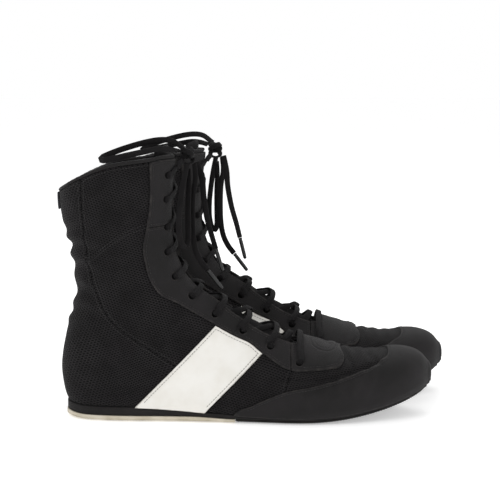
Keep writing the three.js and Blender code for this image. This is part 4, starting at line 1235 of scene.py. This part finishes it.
for side in sides:
    cordPiece(side, "lace_loop_back", cords["lace_loop_back"], (-0.3, 0.35))
    cordPiece(side, "lace_loop_front", cords["lace_loop_front"], (0.3, -0.3))
    cordPiece(side, "lace_tail_lateral", cords["lace_tail_lateral"], (0.4, -0.2), "aglet_lateral")
    cordPiece(side, "lace_tail_medial", cords["lace_tail_medial"][side], (-0.3, 0.4), "aglet_medial")
print("laces ready")

# soles, built in stations from heel to toe
sole = {
    "flare": {"midsole": -0.9, "heel": -1.4, "fore": 1.5, "insole": 8.6}, "stations": 110, "across": 10,
    "toothPitch": 2.2, "toothSize": (1.0, 0.55, 1.5),
}


def featherRing():
    ribs = np.linspace(10.4, lastRib + 0.3, 500)
    halves = []
    for sign in (1, -1):
        low, high = np.full_like(ribs, math.pi / 2), np.full_like(ribs, math.pi)
        end = surfacePoint(ribs, high * sign)
        ok = end[:, 2] < featherHeight(end[:, 0])

        def above(half):
            at = surfacePoint(ribs, sign * half)
            return at[:, 2] > featherHeight(at[:, 0])
        halves.append(surfacePoint(ribs, sign * halving(low, high, above))[ok][:, :2])
    return np.vstack([halves[0], halves[1][::-1]])


featherLoop = featherRing()


def insetLoop(inset):
    before, after = np.roll(featherLoop, 1, 0), np.roll(featherLoop, -1, 0)
    way = after - before
    size = np.maximum(np.linalg.norm(way, axis=1, keepdims=True), 1e-6)
    return featherLoop + np.stack([-way[:, 1], way[:, 0]], 1) / size * inset


def spanAt(loop, x):
    a, b = loop, np.roll(loop, -1, 0)
    hit = (a[:, 0] - x) * (b[:, 0] - x) < 0
    y = a[hit, 1] + (x - a[hit, 0]) / (b[hit, 0] - a[hit, 0]) * (b[hit, 1] - a[hit, 1])
    return y.min(), y.max()


def soleLayer(inset, bottom, top, start=-99.0, end=999.0, soft=0.6, crown=0.0):
    loop = insetLoop(inset)
    x0, x1 = max(start, loop[:, 0].min() + 0.02), min(end, loop[:, 0].max() - 0.02)
    share = (1 - np.cos(np.linspace(0, math.pi, sole["stations"]))) / 2
    rings, k = [], sole["across"]
    for x in x0 + (x1 - x0) * share:
        low, high = spanAt(loop, x)
        z0, z1 = float(bottom(x)), float(top(x))
        r = min(soft, (high - low) * 0.3, (z1 - z0) * 0.45)
        y = np.linspace(low + r, high - r, k)
        under = np.stack([np.full(k, x), y, np.full(k, z0)], 1)
        lift = z1 + crown * np.linspace(-1, 1, k) ** 2
        over = np.stack([np.full(k, x), y[::-1], lift[::-1]], 1)
        heights, bevel = [z0 + 0.3 * r, z0 + r, z1 - r, z1 - 0.3 * r], [0.3 * r, 0, 0, 0.3 * r]
        rightWall = [[x, high - b, z] for b, z in zip(bevel, heights)]
        leftWall = [[x, low + b, z] for b, z in zip(bevel, heights[::-1])]
        rings.append(np.vstack([under, rightWall, over, leftWall]))
    return sweptPart(rings, np.vstack(rings)[:, :2] / 10)


def midsoleBottom(x):
    share = smoothStep(x, 100, boot["heelRubberEnd"])
    return groundHeight(x) + boot["gap"] + boot["heelRubber"] * (1 - share) + boot["foreRubber"] * share


flare = sole["flare"]
treadDepth = 0.7
soleLayers = {
    "outsole_heel": ("heelRubber", "heel_rubber", soleLayer(
        flare["heel"], lambda x: groundHeight(x) + treadDepth, lambda x: midsoleBottom(x) - boot["gap"],
        end=boot["heelRubberEnd"], soft=0.7)),
    "outsole_forefoot": ("foreRubber", "dark_rubber", soleLayer(
        flare["fore"], lambda x: groundHeight(x) + treadDepth,
        lambda x: groundHeight(x) + boot["foreRubber"],
        start=boot["heelRubberEnd"] + 0.4, soft=0.6)),
    "midsole": ("foxing", "dark_foxing", soleLayer(
        flare["midsole"], midsoleBottom, lambda x: featherHeight(x) - 0.15, soft=0.9)),
    "insole": ("lining", "insole_foam", soleLayer(
        flare["insole"], lambda x: featherHeight(x) + 2.3, lambda x: featherHeight(x) + 6.3, soft=1.2,
        crown=1.0)),
}
for name, (material, slot, part) in soleLayers.items():
    addPiece(name, part, materials[material], "boot", replaces=(name,), smooth=50)
print("soles ready")

# Geometry Nodes: stitches and teeth along paths, tread studs on points


def geometryTree(name, inputs):
    tree = bpy.data.node_groups.new(name, "GeometryNodeTree")
    tree.interface.new_socket("Geometry", in_out="INPUT", socket_type="NodeSocketGeometry")
    for label, kind in inputs:
        tree.interface.new_socket(label, in_out="INPUT", socket_type=kind)
    tree.interface.new_socket("Geometry", in_out="OUTPUT", socket_type="NodeSocketGeometry")
    return tree, tree.nodes.new("NodeGroupInput").outputs, tree.nodes.new("NodeGroupOutput").inputs


def finishTree(tree, out, instances, material):
    real = addNode(tree, "GeometryNodeRealizeInstances", {0: instances}).outputs[0]
    tree.links.new(addNode(tree, "GeometryNodeSetMaterial",
                           {"Geometry": real, "Material": material}).outputs[0], out[0])


def buildPathTree():
    tree, given, out = geometryTree("repeatAlongPath",
                                    [("Pitch", floatSocket), ("Shape", "NodeSocketObject"),
                                                       ("Finish", "NodeSocketMaterial")])
    curve = addNode(tree, "GeometryNodeMeshToCurve", {0: given["Geometry"]}).outputs[0]
    spots = addNode(tree, "GeometryNodeCurveToPoints", {"Curve": curve, "Length": given["Pitch"]},
                    mode="LENGTH").outputs
    shape = addNode(tree, "GeometryNodeObjectInfo", {"Object": given["Shape"]}).outputs["Geometry"]
    turned = addNode(tree, "FunctionNodeAlignRotationToVector", {"Vector": spots["Tangent"]},
                     axis="X").outputs[0]
    placed = addNode(tree, "GeometryNodeInstanceOnPoints", {"Points": spots["Points"], "Instance": shape,
                                                           "Rotation": turned}).outputs[0]
    finishTree(tree, out, placed, given["Finish"])
    return tree


def buildStudTree():
    tree, given, out = geometryTree("studsOnPoints", [("Turn", floatSocket), ("Shape", "NodeSocketObject"),
                                                     ("Finish", "NodeSocketMaterial")])
    shape = addNode(tree, "GeometryNodeObjectInfo", {"Object": given["Shape"]}).outputs["Geometry"]
    spin = addNode(tree, "ShaderNodeCombineXYZ", {2: given["Turn"]}).outputs[0]
    placed = addNode(tree, "GeometryNodeInstanceOnPoints", {"Points": given["Geometry"], "Instance": shape,
                                                           "Rotation": spin}).outputs[0]
    finishTree(tree, out, placed, given["Finish"])
    return tree


pathTree, studTree = buildPathTree(), buildStudTree()


def capsuleShape(name, length, width, height, corners=6):  # a stitch or tooth, long along x
    profile = [(-0.5, 0.35), (-0.38, 0.85), (0, 1.0), (0.38, 0.85), (0.5, 0.35)]
    turn = np.linspace(0, 2 * math.pi, corners, endpoint=False)
    y, z = np.cos(turn) * width / 2, np.sin(turn) * height / 2
    rings = [np.stack([np.full(corners, share * length), y * size, z * size], 1) for share, size in profile]
    points, faces = sweepRings(rings)
    mesh = bpy.data.meshes.new(name)
    mesh.from_pydata((points * mm).tolist(), [], outward(points, faces))
    mesh.shade_smooth()
    return bpy.data.objects.new(name, mesh)


def repeatPiece(name, points, edges, tree, values):  # runs a tree, keeps the result as a plain mesh
    for side in sides:
        source = bpy.data.objects.new("repeatSource", bpy.data.meshes.new("repeatSource"))
        source.data.from_pydata(toFrame(points, side).tolist(), [tuple(e) for e in edges], [])
        scene.collection.objects.link(source)
        modifier = source.modifiers.new("repeat", "NODES")
        modifier.node_group = tree
        for socket in tree.interface.items_tree:
            if socket.item_type == "SOCKET" and socket.in_out == "INPUT" and socket.name in values:
                modifier[socket.identifier] = values[socket.name]
        view = bpy.context.evaluated_depsgraph_get()
        mesh = bpy.data.meshes.new_from_object(source.evaluated_get(view), depsgraph=view)
        source.modifiers.remove(modifier)
        old = source.data
        bpy.data.objects.remove(source)
        bpy.data.meshes.remove(old)
        mesh.name = pieceName(side, name)
        piece = bpy.data.objects.new(pieceName(side, name), mesh)
        scene.collection.objects.link(piece)
        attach(piece, f"{side}_boot")
        print(piece.name, len(mesh.polygons), "faces")


stitchLook = {"pitch": 2.3, "length": 1.75, "width": 0.42, "rise": 0.34}
darkStitch = capsuleShape("darkStitch", stitchLook["length"], stitchLook["width"], stitchLook["rise"])
tooth = capsuleShape("soleTooth", *sole["toothSize"], corners=8)


def seamLines(names, level, lift, clear):
    points, edges, base = [], [], 0
    for name in names:
        look, sheet, edge, outer = pieces[name][:4]
        line, links = levelLine(sheet, edge, level, outer + lift)
        if not len(line):
            continue
        keep = clear(line)
        links = [link for link in links if keep[link[0]] and keep[link[1]]]
        points.append(line)
        edges += [(a + base, b + base) for a, b in links]
        base += len(line)
    return np.vstack(points), edges


def offSole(line):
    return line[:, 2] > featherHeight(line[:, 0]) + 4.5


def offEyelets(line):
    ok = offSole(line)
    for sign in (1, -1):
        for rib, angle in eyelets:
            spot = surfacePoint(rib, sign * angle)
            ok &= np.linalg.norm(line - spot, axis=1) > eyeletLook["radius"] + 3.4
    return ok


threads = {
    "stitches_dark": (["eyestay_lateral", "eyestay_medial", "facing_lateral", "facing_medial", "vamp_tab",
                       "toe_rand"], 1.9, "thread", "suede", offEyelets),
    "stitches_panels": (["back_panel", "quarter_lateral", "quarter_medial"], 1.8, "thread", "mesh_cloth",
                        offEyelets),
    "stitches_band": (["side_band_lateral", "side_band_medial"], 2.0, "bandThread", "white_synthetic",
                      offSole),
}


def crossSeam():  # the stitched seam that runs down from the facing to the back panel
    seam = np.array(creases["seam"])[::-1]
    points, edges, base = [], [], 0
    for name in ("quarter_lateral", "quarter_medial"):
        look, sheet, edge, outer = pieces[name][:4]
        at = surfacePoint(sheet[0][:, 0], sheet[0][:, 1])
        for lift in (-1.3, 1.3):
            line, links = levelLine(sheet, at[:, 2] - np.interp(at[:, 0], seam[:, 0], seam[:, 1]), lift,
                                    outer + 0.02)
            keep = (line[:, 0] < 68) & (line[:, 0] > 22)
            points.append(line)
            edges += [(a + base, b + base) for a, b in links if keep[a] and keep[b]]
            base += len(line)
    return np.vstack(points), edges


for name, (names, level, material, slot, clear) in threads.items():
    points, edges = seamLines(names, level, 0.02, clear)
    if name == "stitches_panels":
        more, links = crossSeam()
        edges = edges + [(a + len(points), b + len(points)) for a, b in links]
        points = np.vstack([points, more])
    values = {"Pitch": stitchLook["pitch"] * mm, "Shape": darkStitch, "Finish": materials[material]}
    repeatPiece(name, points, edges, pathTree, values)
print("stitches ready")


def toothPath(inset, x0, x1, height):
    loop = insetLoop(inset)
    loop = loop[(loop[:, 0] > x0) & (loop[:, 0] < x1)]
    points = np.stack([loop[:, 0], loop[:, 1], groundHeight(loop[:, 0]) + height], 1)
    edges = [(i, i + 1) for i in range(len(points) - 1) if np.linalg.norm(points[i + 1] - points[i]) < 12]
    return points, edges


for name, inset, x0, x1, height, material, slot in (
    ("sole_teeth_heel", flare["heel"] + 0.15, -20, boot["heelRubberEnd"] - 1, 1.1, "heelRubber",
     "heel_rubber"),
    ("sole_teeth_fore", flare["fore"] + 0.15, boot["heelRubberEnd"] + 2, 279, 1.1, "foreRubber",
     "dark_rubber"),
):
    points, edges = toothPath(inset, x0, x1, height)
    values = {"Pitch": sole["toothPitch"] * mm, "Shape": tooth, "Finish": materials[material]}
    repeatPiece(name, points, edges, pathTree, values)


stud = {"pitchX": 6.4, "pitchY": 5.6, "size": (4.2, 2.6, 1.5), "turn": 1.57}
studShape = capsuleShape("soleStud", *stud["size"])
for name, inset, x0, x1, material, slot in (
    ("tread_heel", 4.0, 8, boot["heelRubberEnd"] - 5, "heelRubber", "heel_rubber"),
    ("tread_fore", 6.0, boot["heelRubberEnd"] + 6, 268, "foreRubber", "dark_rubber"),
):
    loop, points = insetLoop(inset), []
    for row, x in enumerate(np.arange(max(x0, loop[:, 0].min() + 2), min(x1, loop[:, 0].max() - 2),
                                      stud["pitchX"])):
        low, high = spanAt(loop, x)
        for y in np.arange(low + 1 + (row % 2) * stud["pitchY"] / 2, high - 1, stud["pitchY"]):
            points.append([x, y, groundHeight(x) + treadDepth + 0.05])
    values = {"Turn": stud["turn"], "Shape": studShape, "Finish": materials[material]}
    repeatPiece(name, points, [], studTree, values)
print("sole tread ready")

# stiff pieces that keep the frame's own shape
for side in sides:
    for node in ("insole_board", "heel_counter", "toe_puff"):
        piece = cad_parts[f"{side}_{node}"]
        piece.data.materials.clear()
        piece.data.materials.append(materials["board"])


for helper in (darkStitch, tooth, studShape):
    bpy.data.objects.remove(helper)
